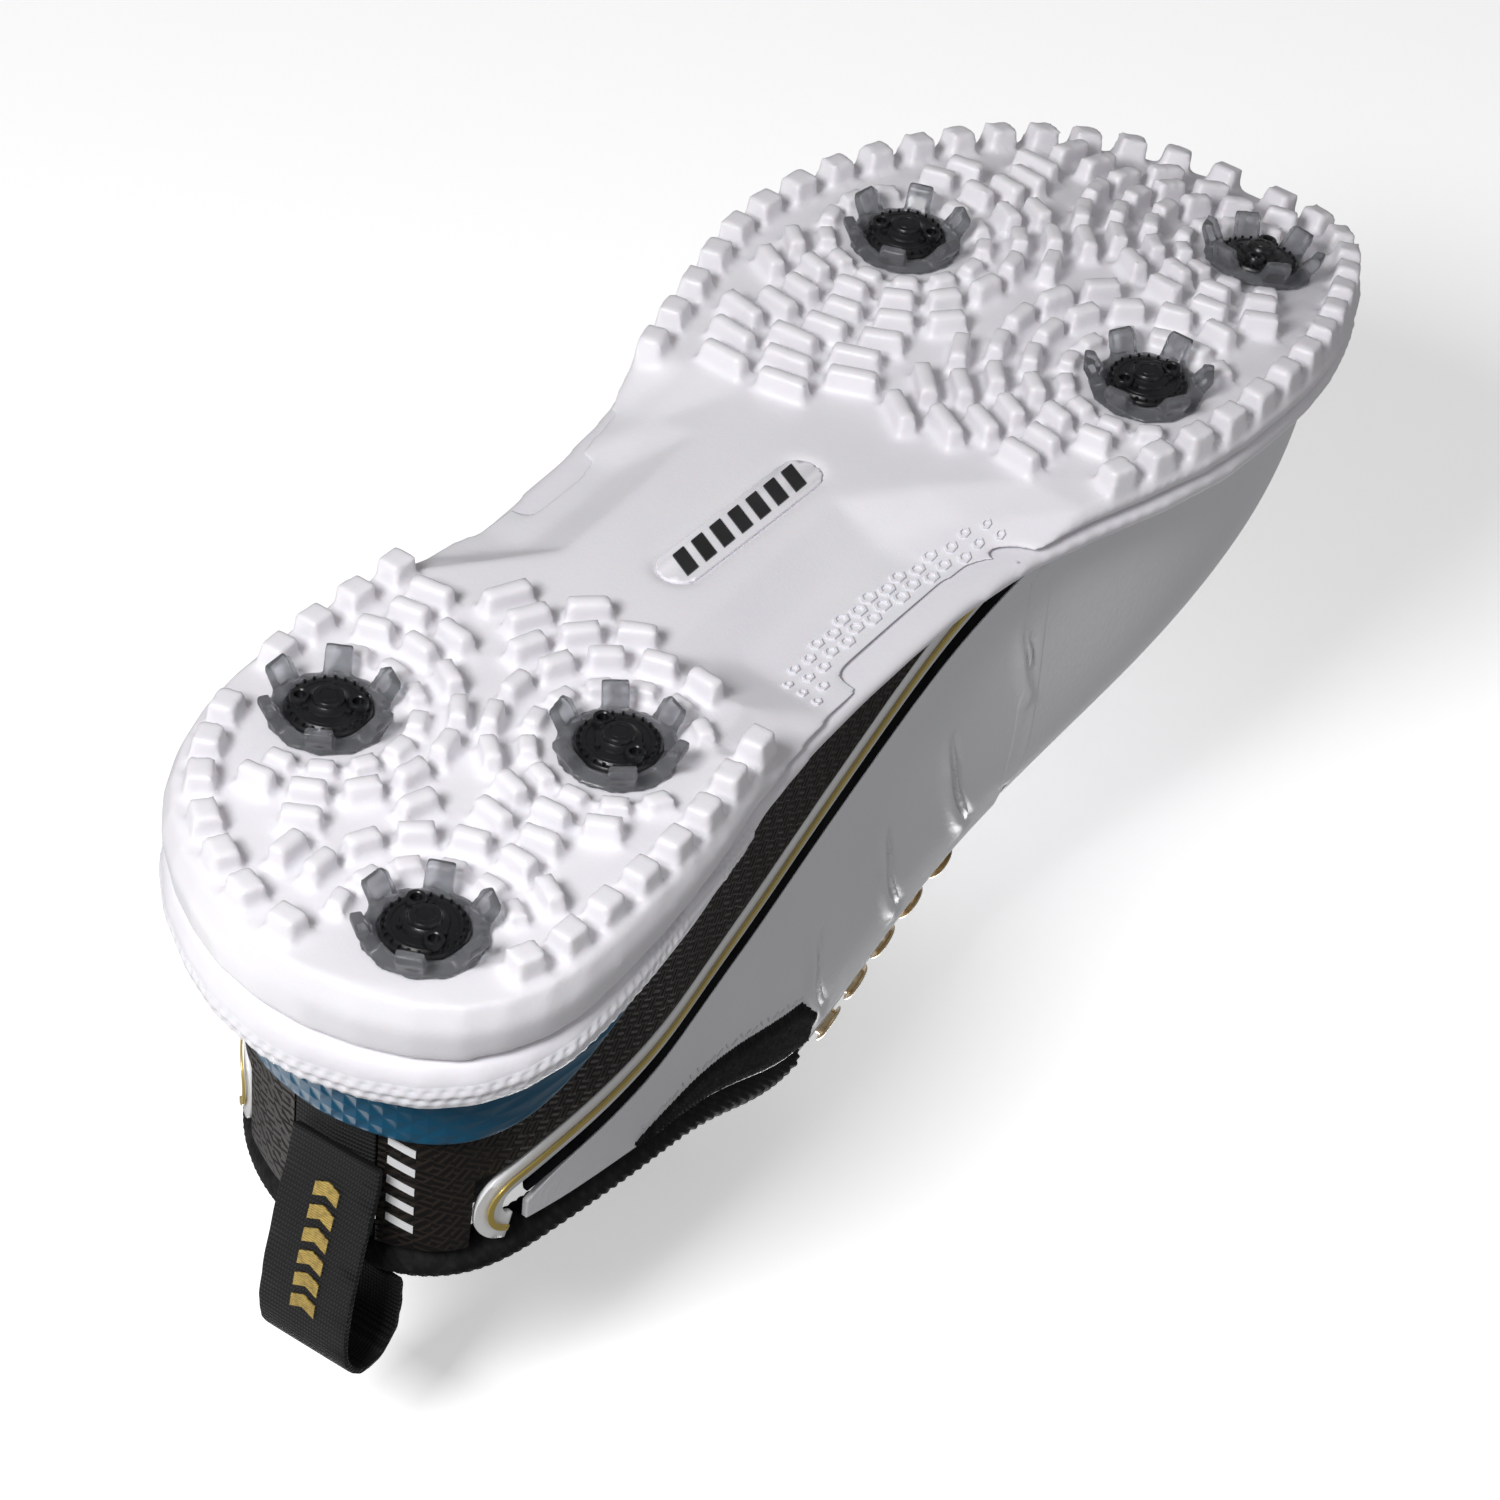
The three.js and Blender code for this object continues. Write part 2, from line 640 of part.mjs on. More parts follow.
function spinePoint(p) {
  const y = Math.min(p.y, HEEL_SPINE_Y * LENGTH_SCALE);
  const along = p.y / LENGTH_SCALE;
  const shift = RIDGE_SHIFT * smooth(-130, -40, along) * (1 - smooth(40, 100, along));
  return v3(spineX(y) + shift, y, 0);
}

function leaned(p, angle) {
  const spine = spinePoint(p);
  const out = p.clone().sub(spine);
  const reach = out.length();
  const c = Math.max(0, Math.cos(angle));
  const keep = c ** SECTION_SIDE + (BULGE / Math.max(reach, 12)) * Math.sin(2 * angle) ** 2;
  const q = spine.addScaledVector(out, keep);
  q.z = mix(floorZ(p.y), crownZ(p.y), Math.sin(angle) ** SECTION_TOP);
  return q;
}

function angleAtZ(y, z) {
  const t = clamp((z - floorZ(y)) / (crownZ(y) - floorZ(y)), 0, 1);
  return Math.asin(t ** (1 / SECTION_TOP));
}

function featherPoint(side, s) {
  const points = rim(side, FEATHER_INSET);
  let left = Math.max(0, s);
  for (let i = 0; i < points.length - 1; i += 1) {
    const step = points[i].distanceTo(points[i + 1]);
    if (left <= step) return points[i].clone().lerp(points[i + 1], left / step);
    left -= step;
  }
  return points[points.length - 1].clone();
}

// the upper's base surface: s is the distance from the heel back, negative on the lateral side
function skin(s, z) {
  const p = featherPoint(s < 0 ? -1 : 1, Math.abs(s));
  return leaned(p, angleAtZ(p.y, z));
}

function skinNormal(s, z) {
  const step = 0.6;
  const along = skin(s + step, z).sub(skin(s - step, z));
  const up = skin(s, z + step).sub(skin(s, z));
  const normal = along.cross(up).normalize();
  const p = skin(s, z);
  return normal.dot(p.clone().sub(spinePoint(p).setZ(p.z * 0.7))) < 0 ? normal.negate() : normal;
}

// a shell over the part of the skin that place(a, b) = [s, z] covers
function skinShell(place, nu, nv, offsets) {
  const layerAt = (offset) => (a, b) => {
    const [s, z] = place(a, b);
    return skin(s, z).addScaledVector(skinNormal(s, z), offset);
  };
  return stackedSolid(nu, nv, [layerAt(offsets[0]), layerAt(offsets[1])]);
}

const lengthwise = (s) => s * LENGTH_SCALE;

// arc length of a station y on one side
function sAtY(side, y) {
  const points = rim(side, FEATHER_INSET);
  let s = 0;
  for (let i = 0; i < points.length - 1; i += 1) {
    if (points[i + 1].y <= y && points[i].y >= y && points[i].y > points[i + 1].y) {
      const part = (points[i].y - y) / (points[i].y - points[i + 1].y);
      return s + points[i].distanceTo(points[i + 1]) * part;
    }
    s += points[i].distanceTo(points[i + 1]);
  }
  return s;
}

const stripeCurve = throughPoints(STRIPE_PATH.map(([s, z]) => [lengthwise(s), z]).reverse());
const STRIPE_FRONT_S = lengthwise(190);
const BAND_START = 0.055; // fraction of the stripe hidden inside the midsole
const HOOK_S = lengthwise(34);
const HOOK_R = 5.8;

// the centre line of the stripe in (s, z): up the side, then round the hook
function stripeCentre(t) {
  const bend = 0.72;
  if (t < bend) {
    const s = mix(STRIPE_FRONT_S, HOOK_S, t / bend);
    return [s, stripeCurve(s)];
  }
  const turn = Math.PI * 0.93 * ((t - bend) / (1 - bend));
  return [HOOK_S - HOOK_R * Math.sin(turn), stripeCurve(HOOK_S) + HOOK_R * (1 - Math.cos(turn))];
}

function stripeSlope(s) {
  return (stripeCurve(s + 1) - stripeCurve(s - 1)) / 2;
}

// height at distance above (or, if negative, below) the stripe's centre line
function besideStripe(s, distance) {
  const at = Math.max(s, HOOK_S + 1);
  return stripeCurve(at) + distance * Math.hypot(1, stripeSlope(at));
}

// a band beside the stripe's centre line; positive offsets lie towards the white quarter
function band(side, from, to, offsets, t0, t1, steps) {
  const place = (a, b) => {
    const t = mix(t0, t1, a);
    const [s, z] = stripeCentre(t);
    const [s0, z0] = stripeCentre(Math.max(t0, t - 0.01));
    const [s1, z1] = stripeCentre(Math.min(t1, t + 0.01));
    const length = Math.hypot(s1 - s0, z1 - z0);
    const off = mix(from, to, b);
    const atS = s + (off * (z1 - z0)) / length;
    const atZ = z - (off * (s1 - s0)) / length;
    const least = floorZ(featherPoint(side, atS).y) + (b > 0.5 ? 2 : 1);
    return [side * atS, Math.max(atZ, least)];
  };
  return skinShell(place, steps, 1, offsets);
}


function collarEdgeZ(side, s) {
  return toplineCurve(featherPoint(side, Math.abs(s)).y) - COLLAR_EDGE_DROP;
}

// dark woven panel from the arch round to the heel strip
function carbonPanel(side) {
  const outer = HOOK_R + STRIPE_HALF_WIDTH + GAP;
  const rearEnd = HOOK_S - outer - 0.1;
  const hookZ = stripeCurve(HOOK_S) + HOOK_R;
  const columns = [];
  for (let i = 0; i <= 4; i += 1) columns.push(mix(HEEL_STRIP_HALF_WIDTH + GAP, rearEnd, i / 4));
  for (let i = 0; i <= 3; i += 1) columns.push(mix(rearEnd + 0.4, HOOK_S, i / 3));
  for (let i = 1; i <= 13; i += 1) columns.push(mix(HOOK_S, lengthwise(164), i / 13));
  const last = columns.length - 1;
  const place = (a, b) => {
    const s = columns[Math.round(a * last)];
    const low = floorZ(featherPoint(side, s).y) + 1;
    const away = clamp(HOOK_S - s, 0, outer);
    let top = besideStripe(s, -STRIPE_HALF_WIDTH - GAP - 0.1);
    if (s < HOOK_S) top = Math.min(top, hookZ - Math.sqrt(outer ** 2 - away ** 2));
    if (s <= rearEnd) top = collarEdgeZ(side, s) - 0.6;
    return [side * s, mix(low, Math.max(top, low + 1.5), b)];
  };
  return skinShell(place, last, 4, PANEL);
}

function throatHalfAngle(y) {
  const back = 20 * LENGTH_SCALE;
  return mix(1.3, 1.2, smooth(THROAT_FRONT_Y * LENGTH_SCALE, back, y));
}

// the vamp seam: further back low on the sides than at the throat
function seamY(angle) {
  return (THROAT_FRONT_Y + SEAM_SWEEP * Math.abs(Math.cos(angle)) ** 1.5) * LENGTH_SCALE;
}

const EYESTAY_SPAN = 0.3; // width of the eyelet strip, as an angle of the section

// white quarter: from the vamp seam back to the end inside the hook
function quarterSurface(side) {
  const inner = STRIPE_HALF_WIDTH + BLACK_LINE_WIDTH + 2 * GAP + 0.2;
  const back = HOOK_S + 3;
  const edges = (s) => {
    const y = featherPoint(side, s).y;
    const floor = floorZ(y) + 1;
    const bottom = Math.max(besideStripe(Math.min(s, STRIPE_FRONT_S), inner), floor);
    const stayZ = mix(floorZ(y), crownZ(y), Math.sin(throatHalfAngle(y) - EYESTAY_SPAN) ** SECTION_TOP);
    return [bottom, Math.min(stayZ, collarEdgeZ(side, s) - 0.6)];
  };
  const [frontLow, frontHigh] = edges(sAtY(side, THROAT_FRONT_Y * LENGTH_SCALE));
  return (a, b) => {
    const seamAngle = angleAtZ(THROAT_FRONT_Y * LENGTH_SCALE, mix(frontLow, frontHigh, b));
    const front = sAtY(side, seamY(seamAngle) + 2 * GAP);
    const s = mix(back, front, a);
    const [bottom, top] = edges(s);
    const pinch = smooth(back - 2, back + 4, s);
    const middle = (bottom + top) / 2 + 0.8;
    return [side * s, mix(mix(middle - 1.5, bottom, pinch), mix(middle + 1.5, top, pinch), b)];
  };
}

// strip along the throat that carries the eyelets
function eyestay(side) {
  const y0 = 17 * LENGTH_SCALE;
  const y1 = seamY(throatHalfAngle(THROAT_FRONT_Y) - EYESTAY_SPAN) + 2 * GAP;
  const fn = (a, b) => {
    const y = mix(y0, y1, a);
    const high = throatHalfAngle(y);
    const angle = mix(high - EYESTAY_SPAN + 0.02, high, b);
    return leaned(v3(rimX(side, FEATHER_INSET, y), y, 0), angle);
  };
  const solid = toManifold(shell(fn, 8, 1, PANEL));
  const hole = (place) => facing(cylinder(EYELET_HOLE_R + 0.8, -5, 6, 8), place, 0);
  const holes = eyeletPlaces(side).map(hole);
  return fromManifold(cut(solid, holes));
}

function eyeletPlaces(side) {
  const places = [];
  for (let row = 0; row < EYELET_ROWS; row += 1) {
    const y = mix(THROAT_FRONT_Y + 14, 11, row / (EYELET_ROWS - 1)) * LENGTH_SCALE;
    const p = v3(rimX(side, FEATHER_INSET, y), y, 0);
    const angle = throatHalfAngle(y) - EYESTAY_SPAN / 2;
    const at = leaned(p, angle);
    const up = leaned(p, angle + 0.02).sub(at).normalize();
    const along = v3(0, leaned(v3(p.x, y + 1, 0), angle).y - at.y, crownZ(y + 1) - crownZ(y)).normalize();
    const normal = up.cross(along).normalize();
    if (normal.z < 0) normal.negate();
    places.push({ at, normal });
  }
  return places;
}

function facing(geometry, place, lift) {
  const turn = new THREE.Quaternion().setFromUnitVectors(v3(0, 0, 1), place.normal);
  geometry.applyQuaternion(turn);
  const p = place.at.clone().addScaledVector(place.normal, lift);
  geometry.translate(p.x, p.y, p.z);
  return geometry;
}

function quarter(side) {
  return skinShell(quarterSurface(side), 18, 4, PANEL);
}

function eyelet(side, row) {
  const profile = [[EYELET_HOLE_R - 0.25, -0.9], [EYELET_HOLE_R + 0.3, -0.9], [EYELET_HOLE_R + 0.3, 1.7],
    [EYELET_R, 1.7], [EYELET_R - 0.4, 2.3], [EYELET_HOLE_R - 0.25, 2.3], [EYELET_HOLE_R - 0.25, -0.9]];
  return facing(lathe(profile, 8), eyeletPlaces(side)[row], 0);
}

// the vamp crosses from feather line to feather line over the toes
function vampSurface(startY, y1, edgeLift) {
  return (a, b) => {
    const edgeY = mix(startY(0), y1, a);
    const edge = Math.min(angleAtZ(edgeY, floorZ(edgeY) + edgeLift), 0.4);
    const angle = mix(edge, Math.PI - edge, b);
    const y = mix(startY(angle), y1, a);
    const medialHalf = angle < Math.PI / 2;
    const x = rimX(medialHalf ? 1 : -1, FEATHER_INSET, y);
    return leaned(v3(x, y, 0), medialHalf ? angle : Math.PI - angle);
  };
}

function easedToe(a) {
  return 1 - (1 - a) ** 1.7;
}

function vamp() {
  const y1 = rimEnds(FEATHER_INSET)[1] + 0.1;
  const surface = vampSurface(seamY, y1, 1);
  return shell((a, b) => surface(easedToe(a), b), 13, 13, PANEL);
}

function toePuff() {
  const y1 = rimEnds(FEATHER_INSET)[1] + 3;
  const surface = vampSurface(() => -112 * LENGTH_SCALE, y1, 7);
  return shell((a, b) => surface(easedToe(a), b), 6, 9, STIFFENER);
}

function heelWrap(fromS, toS, lowZ, highZ, steps, rows, offsets) {
  const place = (a, b) => {
    const s = mix(fromS, toS, a);
    return [s, mix(lowZ(s), highZ(s), b)];
  };
  return skinShell(place, steps, rows, offsets);
}

function heelCounter() {
  const reach = lengthwise(88);
  const low = (s) => floorZ(featherPoint(Math.sign(s) || 1, Math.abs(s)).y) + 3;
  const high = (s) => mix(64, 36, smooth(50, reach, Math.abs(s)));
  return heelWrap(-reach, reach, low, high, 22, 2, STIFFENER);
}

function heelStabiliser() {
  const reach = lengthwise(78);
  const low = (s) => rimZ(featherPoint(Math.sign(s) || 1, Math.abs(s)).y) + 1.5;
  const high = (s) => mix(low(s) + 3, STABILISER_TOP_Z, 1 - smooth(22, reach, Math.abs(s)) ** 1.6);
  return heelWrap(-reach, reach, low, high, 28, 2, STABILISER);
}

function heelStrip() {
  const low = () => STABILISER_TOP_Z + 1;
  const high = () => toplineCurve(HEEL_BACK[1]) - COLLAR_EDGE_DROP - 0.6;
  return heelWrap(-HEEL_STRIP_HALF_WIDTH, HEEL_STRIP_HALF_WIDTH, low, high, 6, 5, PANEL);
}

// soft inner sleeve from the throat round the heel
function lining(side) {
  const front = sAtY(side, THROAT_FRONT_Y * LENGTH_SCALE + 2);
  const place = (a, b) => {
    const s = mix(1.2, front, a);
    const y = featherPoint(side, s).y;
    const throatZ = mix(floorZ(y), crownZ(y), Math.sin(throatHalfAngle(y) - 0.5) ** SECTION_TOP);
    const top = Math.min(throatZ, toplineCurve(y) - COLLAR_EDGE_DROP - 6);
    return [side * s, mix(floorZ(y) + 6, top, b)];
  };
  return skinShell(place, 18, 3, LINING);
}

function vampLining() {
  const y1 = rimEnds(FEATHER_INSET)[1] + 7;
  const surface = vampSurface(() => THROAT_FRONT_Y * LENGTH_SCALE - 12, y1, 16);
  return shell((a, b) => surface(easedToe(a), b), 9, 10, LINING);
}

// padded roll round the top of the collar
function collar() {
  const points = [];
  const frontY = 24 * LENGTH_SCALE;
  const medialFront = sAtY(1, frontY);
  const lateralFront = sAtY(-1, frontY);
  const count = 26;
  for (let i = 0; i <= count; i += 1) {
    const s = mix(-lateralFront, medialFront, i / count);
    const side = s < 0 ? -1 : 1;
    const y = featherPoint(side, Math.abs(s)).y;
    const p = skin(s, toplineCurve(y) - COLLAR_EDGE_DROP + 4.6);
    const spine = spinePoint(p);
    const inward = spine.sub(v3(p.x, p.y, 0)).normalize();
    points.push(p.addScaledVector(inward, 2.4));
  }
  const path = new THREE.CatmullRomCurve3(points);
  const shape = new THREE.Shape();
  const across = 4.4;
  const up = 4.1;
  const sides = 8;
  for (let i = 0; i < sides; i += 1) {
    const a = (2 * Math.PI * i) / sides;
    const x = across * Math.cos(a);
    const y = up * Math.sin(a);
    if (i === 0) shape.moveTo(x, y);
    else shape.lineTo(x, y);
  }
  return new THREE.ExtrudeGeometry(shape, { steps: 30, extrudePath: path, bevelEnabled: false });
}

// the tongue lies under the eyelet strips and stands above the collar
function tongue() {
  const y0 = 34 * LENGTH_SCALE;
  const y1 = THROAT_FRONT_Y * LENGTH_SCALE - 8;
  const surface = (a, b) => {
    const y = mix(y0, y1, a);
    const half = mix(0.4, 0.62, a);
    const angle = mix(Math.PI / 2 - half, Math.PI / 2 + half, b);
    const medialHalf = angle < Math.PI / 2;
    const x = rimX(medialHalf ? 1 : -1, FEATHER_INSET, y);
    return leaned(v3(x, y, 0), medialHalf ? angle : Math.PI - angle);
  };
  return shell(surface, 10, 6, TONGUE);
}

// webbing loop behind the collar, sewn at its foot
function pullLoop() {
  const p = skin(0, 60).y;
  const foot = p + PANEL[1] + GAP;
  const path = [[foot + 0.1, 57], [foot + 1.1, 63], [foot + 5, 76], [foot + 8, 90], [foot + 7.5, 99],
    [foot + 2.5, 104], [foot - 4, 101.5], [foot - 5.4, 94], [foot - 5.2, 89]];
  const curve = new THREE.SplineCurve(path.map(([y, z]) => new THREE.Vector2(y, z)));
  const outer = [];
  const inner = [];
  const steps = 22;
  for (let i = 0; i <= steps; i += 1) {
    const q = curve.getPoint(i / steps);
    const t = curve.getTangent(i / steps);
    outer.push([q.x + t.y * LOOP_THICK, q.y - t.x * LOOP_THICK]);
    inner.push([q.x, q.y]);
  }
  const shape = new THREE.Shape();
  const outline = [...outer, ...inner.reverse()];
  outline.forEach(([y, z], i) => (i === 0 ? shape.moveTo(y, z) : shape.lineTo(y, z)));
  const geometry = new THREE.ExtrudeGeometry(shape, { depth: LOOP_WIDTH, bevelEnabled: false });
  const basis = new THREE.Matrix4().makeBasis(v3(0, 1, 0), v3(0, 0, 1), v3(1, 0, 0));
  geometry.applyMatrix4(basis);
  geometry.translate((HEEL_BACK[0] + 2) * WIDTH_SCALE - LOOP_WIDTH / 2, 0, 0);
  return geometry;
}

// ---------------------------------------------------------------- cleats
function wrenchHole(angle) {
  const r = 5.2;
  const geometry = cylinder(0.95, -6, -1.6, 5);
  geometry.translate(r * Math.cos(angle), r * Math.sin(angle), 0);
  return geometry;
}

function cleatHub(turn) {
  const profile = [[0, 3.6], [CLEAT_STEM_R, 3.6], [CLEAT_STEM_R, -0.5], [CLEAT_HUB_R - 0.8, -0.5],
    [CLEAT_HUB_R, -1.4], [CLEAT_HUB_R - 0.5, -2.6], [3.7, -3.4], [3.3, -4.6], [0, -4.7]];
  const lobes = [0, 1, 2].map((k) => {
    const lobe = new THREE.BoxGeometry(CLEAT_LOBE_R * 2 - 1.4, 1.9, 1.2);
    lobe.translate(CLEAT_LOBE_R / 2 - 0.6, 0, 3);
    lobe.scale(0.62, 1, 1);
    lobe.rotateZ((2 * Math.PI * k) / 3);
    return lobe;
  });
  const collars = [turn, turn + Math.PI].map((angle) => {
    const geometry = cylinder(1.75, -3.9, -1.5, 6);
    geometry.translate(5.2 * Math.cos(angle), 5.2 * Math.sin(angle), 0);
    return geometry;
  });
  const body = unite(toManifold(lathe(profile, 12)), [...lobes, ...collars]);
  return fromManifold(cut(body, [wrenchHole(turn), wrenchHole(turn + Math.PI)]));
}

function cleatLegRing(turn) {
  const inner = CLEAT_HUB_R + 0.3;
  const ringOuter = inner + 1.9;
  const skirt = ringOuter + 1.2;
  const ringProfile = [[inner, -0.4], [inner, -2.1], [ringOuter, -1.5], [skirt, -0.8], [skirt, -0.4],
    [inner, -0.4]];
  const ring = lathe(ringProfile, 12);
  const shape = new THREE.Shape();
  [[inner + 0.1, -0.5], [inner + 0.1, -2.6], [inner + 1.6, -4.7], [inner + 2.4, -SOLE_Z],
    [CLEAT_LEG_TIP_R, -SOLE_Z], [CLEAT_LEG_TIP_R, -4.6], [ringOuter + 0.8, -1.8], [ringOuter + 0.6, -0.5]]
    .forEach(([r, z], i) => (i === 0 ? shape.moveTo(r, z) : shape.lineTo(r, z)));
  const legs = [];
  for (let k = 0; k < CLEAT_LEGS; k += 1) {
    const leg = new THREE.ExtrudeGeometry(shape, { depth: CLEAT_LEG_WIDTH, bevelEnabled: false });
    leg.translate(0, 0, -CLEAT_LEG_WIDTH / 2);
    leg.rotateX(Math.PI / 2);
    leg.rotateZ(turn + (2 * Math.PI * (k + 0.5)) / CLEAT_LEGS);
    legs.push(leg);
  }
  return fromManifold(unite(toManifold(ring), legs));
}

function cleatReceptacle() {
  const bore = CLEAT_STEM_R + 0.5;
  const undercut = CLEAT_LOBE_R + 0.4;
  const top = POCKET_DEPTH - GAP;
  const profile = [[bore, 0.2], [RECEPTACLE_R, 0.2], [RECEPTACLE_R, top], [0, top],
    [0, 4.1], [undercut, 4.1], [undercut, 2], [bore, 2], [bore, 0.2]];
  const slots = [0, 1, 2].map((k) => {
    const slot = new THREE.BoxGeometry(undercut + 0.2, 2.8, 3);
    slot.translate((undercut + 0.2) / 2, 0, 1);
    slot.rotateZ((2 * Math.PI * k) / 3 + Math.PI / 3);
    return slot;
  });
  return fromManifold(cut(toManifold(lathe(profile, 10)), slots));
}

// ---------------------------------------------------------------- assembly
const group = new THREE.Group();
group.name = "golf_shoe";

function addPart(name, geometry, material) {
  const mesh = new THREE.Mesh(outward(geometry), new THREE.MeshStandardMaterial(MATERIALS[material]));
  mesh.name = name;
  mesh.material.name = material;
  group.add(mesh);
}

addPart("outsole", outsole(), "whiteRubber");
addPart("sole_badge", badge(), "badge");
addPart("midsole", midsole(), "whiteFoam");
addPart("arch_shank", shankGeometry(0), "shank");
addPart("insole_board", innerSheet(14.6, -1, 1.2, 0), "board");
addPart("footbed", innerSheet(14.8, 0.7, 3.2, 1.6), "footbed");
addPart("heel_counter", heelCounter(), "stiffener");
addPart("toe_puff", toePuff(), "stiffener");
addPart("vamp_lining", vampLining(), "lining");
addPart("vamp", vamp(), "whiteLeather");
addPart("tongue", tongue(), "knit");
addPart("collar", collar(), "knit");
addPart("heel_strip", heelStrip(), "webbing");
addPart("pull_loop", pullLoop(), "webbing");
addPart("heel_stabiliser", heelStabiliser(), "blueTpu");

Object.entries(SIDES).forEach(([sideName, side]) => {
  addPart(`lining_${sideName}`, lining(side), "lining");
  addPart(`carbon_panel_${sideName}`, carbonPanel(side), "carbonWeave");
  addPart(`quarter_${sideName}`, quarter(side), "whiteLeather");
  addPart(`eyestay_${sideName}`, eyestay(side), "whiteLeather");
  const stripe = band(side, -STRIPE_HALF_WIDTH, STRIPE_HALF_WIDTH, PANEL, BAND_START, 1, 26);
  addPart(`stripe_${sideName}`, stripe, "whiteLeather");
  addPart(`pinstripe_${sideName}`, band(side, -0.6, 0.6, PINSTRIPE, BAND_START + 0.01, 0.99, 26), "gold");
  const lineFrom = STRIPE_HALF_WIDTH + GAP;
  const edgeLine = band(side, lineFrom, lineFrom + BLACK_LINE_WIDTH, PANEL, BAND_START, 0.71, 16);
  addPart(`edge_line_${sideName}`, edgeLine, "knit");
  for (let row = 0; row < EYELET_ROWS; row += 1) {
    addPart(`eyelet_${sideName}_${row + 1}`, eyelet(side, row), "eyeletMetal");
  }
});

const HOLE_TURN = { toe: 75, ball_medial: 120, ball_lateral: 160, heel_front: 20, heel_side: 150,
  heel_back: 35 };
CLEATS.forEach(([name, x, y]) => {
  const turn = THREE.MathUtils.degToRad(HOLE_TURN[name]);
  addPart(`cleat_${name}_hub`, cleatPlace(cleatHub(turn), x, y), "cleatHub");
  addPart(`cleat_${name}_legs`, cleatPlace(cleatLegRing(turn), x, y), "cleatClear");
  addPart(`cleat_${name}_receptacle`, cleatPlace(cleatReceptacle(), x, y), "receptacle");
});

// the origin goes to the middle of the bounding box's bottom face
const box = new THREE.Box3().setFromObject(group);
const centre = box.getCenter(v3(0, 0, 0));
group.children.forEach((mesh) => mesh.geometry.translate(-centre.x, -centre.y, -box.min.z));

export default group;
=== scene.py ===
"""Looks of the golf shoe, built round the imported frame. Toe to -Y, medial side +X, up +Z.

Metres, except for the sizes that are multiplied by MM."""
import json
import math

import bmesh
import bpy
import numpy as np
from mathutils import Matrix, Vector
from mathutils.bvhtree import BVHTree


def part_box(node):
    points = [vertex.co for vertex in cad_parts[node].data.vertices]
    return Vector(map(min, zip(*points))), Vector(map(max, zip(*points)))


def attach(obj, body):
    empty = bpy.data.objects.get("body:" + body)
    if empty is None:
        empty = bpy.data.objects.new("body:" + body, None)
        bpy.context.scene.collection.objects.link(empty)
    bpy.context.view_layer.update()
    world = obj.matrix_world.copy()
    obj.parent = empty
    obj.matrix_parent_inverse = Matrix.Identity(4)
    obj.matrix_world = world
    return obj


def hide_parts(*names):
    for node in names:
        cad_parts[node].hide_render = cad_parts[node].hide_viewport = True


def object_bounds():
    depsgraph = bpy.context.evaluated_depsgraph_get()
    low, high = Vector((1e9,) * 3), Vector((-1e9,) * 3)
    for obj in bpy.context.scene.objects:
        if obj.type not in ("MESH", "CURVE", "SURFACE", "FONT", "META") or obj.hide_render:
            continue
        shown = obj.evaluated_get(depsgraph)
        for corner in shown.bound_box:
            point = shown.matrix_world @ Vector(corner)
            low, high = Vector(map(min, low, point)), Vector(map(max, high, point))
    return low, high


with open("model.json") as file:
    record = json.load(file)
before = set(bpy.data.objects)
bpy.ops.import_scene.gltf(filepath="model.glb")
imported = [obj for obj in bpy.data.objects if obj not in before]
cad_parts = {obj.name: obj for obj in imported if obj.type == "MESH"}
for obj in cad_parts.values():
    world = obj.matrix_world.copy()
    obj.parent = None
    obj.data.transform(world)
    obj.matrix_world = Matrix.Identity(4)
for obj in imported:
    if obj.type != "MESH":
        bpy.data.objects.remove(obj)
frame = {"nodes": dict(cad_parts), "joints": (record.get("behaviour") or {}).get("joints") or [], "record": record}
CAD_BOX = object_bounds()

MM = 0.001
NODES = frame["nodes"]
BODY_OF = {node: body for body, nodes in frame["record"]["behaviour"]["bodies"].items() for node in nodes}
SLOT_OF = {part["node"]: part["material_slot"] for part in frame["record"]["subparts"]}
JOINTS = {joint["name"]: joint for joint in frame["joints"]}
SIDES = {"medial": 1, "lateral": -1}
CLEATS = ["toe", "ball_medial", "ball_lateral", "heel_front", "heel_side", "heel_back"]


# ---------------------------------------------------------------- camera, stage and light
CAMERA_PLACE = Vector((0.3775, 0.6158, -0.5589))
CAMERA_AIM = Vector((0.001, 0.0072, 0.0659))
CAMERA_UP = Vector((-0.430, -0.503, -0.749))
CAMERA_LENS = 121.3
STAGE_HALF = 40  # wide, so that the far edges of the planes lie near the horizon
LIGHT_AIM = Vector((0, 0, 0.06))


def look(obj, place, aim, up):
    """Stands obj at place with its -Z axis towards aim."""
    back = (place - aim).normalized()
    right = up.cross(back).normalized()
    over = back.cross(right)
    matrix = obj.matrix_world.to_3x3()
    for row in range(3):
        matrix[row] = (right[row], over[row], back[row])
    obj.matrix_world = matrix.to_4x4()
    obj.location = place


def make_camera():
    data = bpy.data.cameras.new("camera")
    data.lens = CAMERA_LENS
    data.clip_end = 200
    camera = bpy.data.objects.new("camera", data)
    bpy.context.scene.collection.objects.link(camera)
    look(camera, CAMERA_PLACE, CAMERA_AIM, CAMERA_UP)
    bpy.context.scene.camera = camera


def soft_light(name, place, size, power):
    """A square lamp at place, aimed at the middle of the shoe."""
    data = bpy.data.lights.new(name, "AREA")
    data.size = size
    data.energy = power
    light = bpy.data.objects.new(name, data)
    bpy.context.scene.collection.objects.link(light)
    up = Vector((0, 1, 0)) if abs((place - LIGHT_AIM).normalized().z) > 0.95 else Vector((0, 0, 1))
    look(light, place, LIGHT_AIM, up)


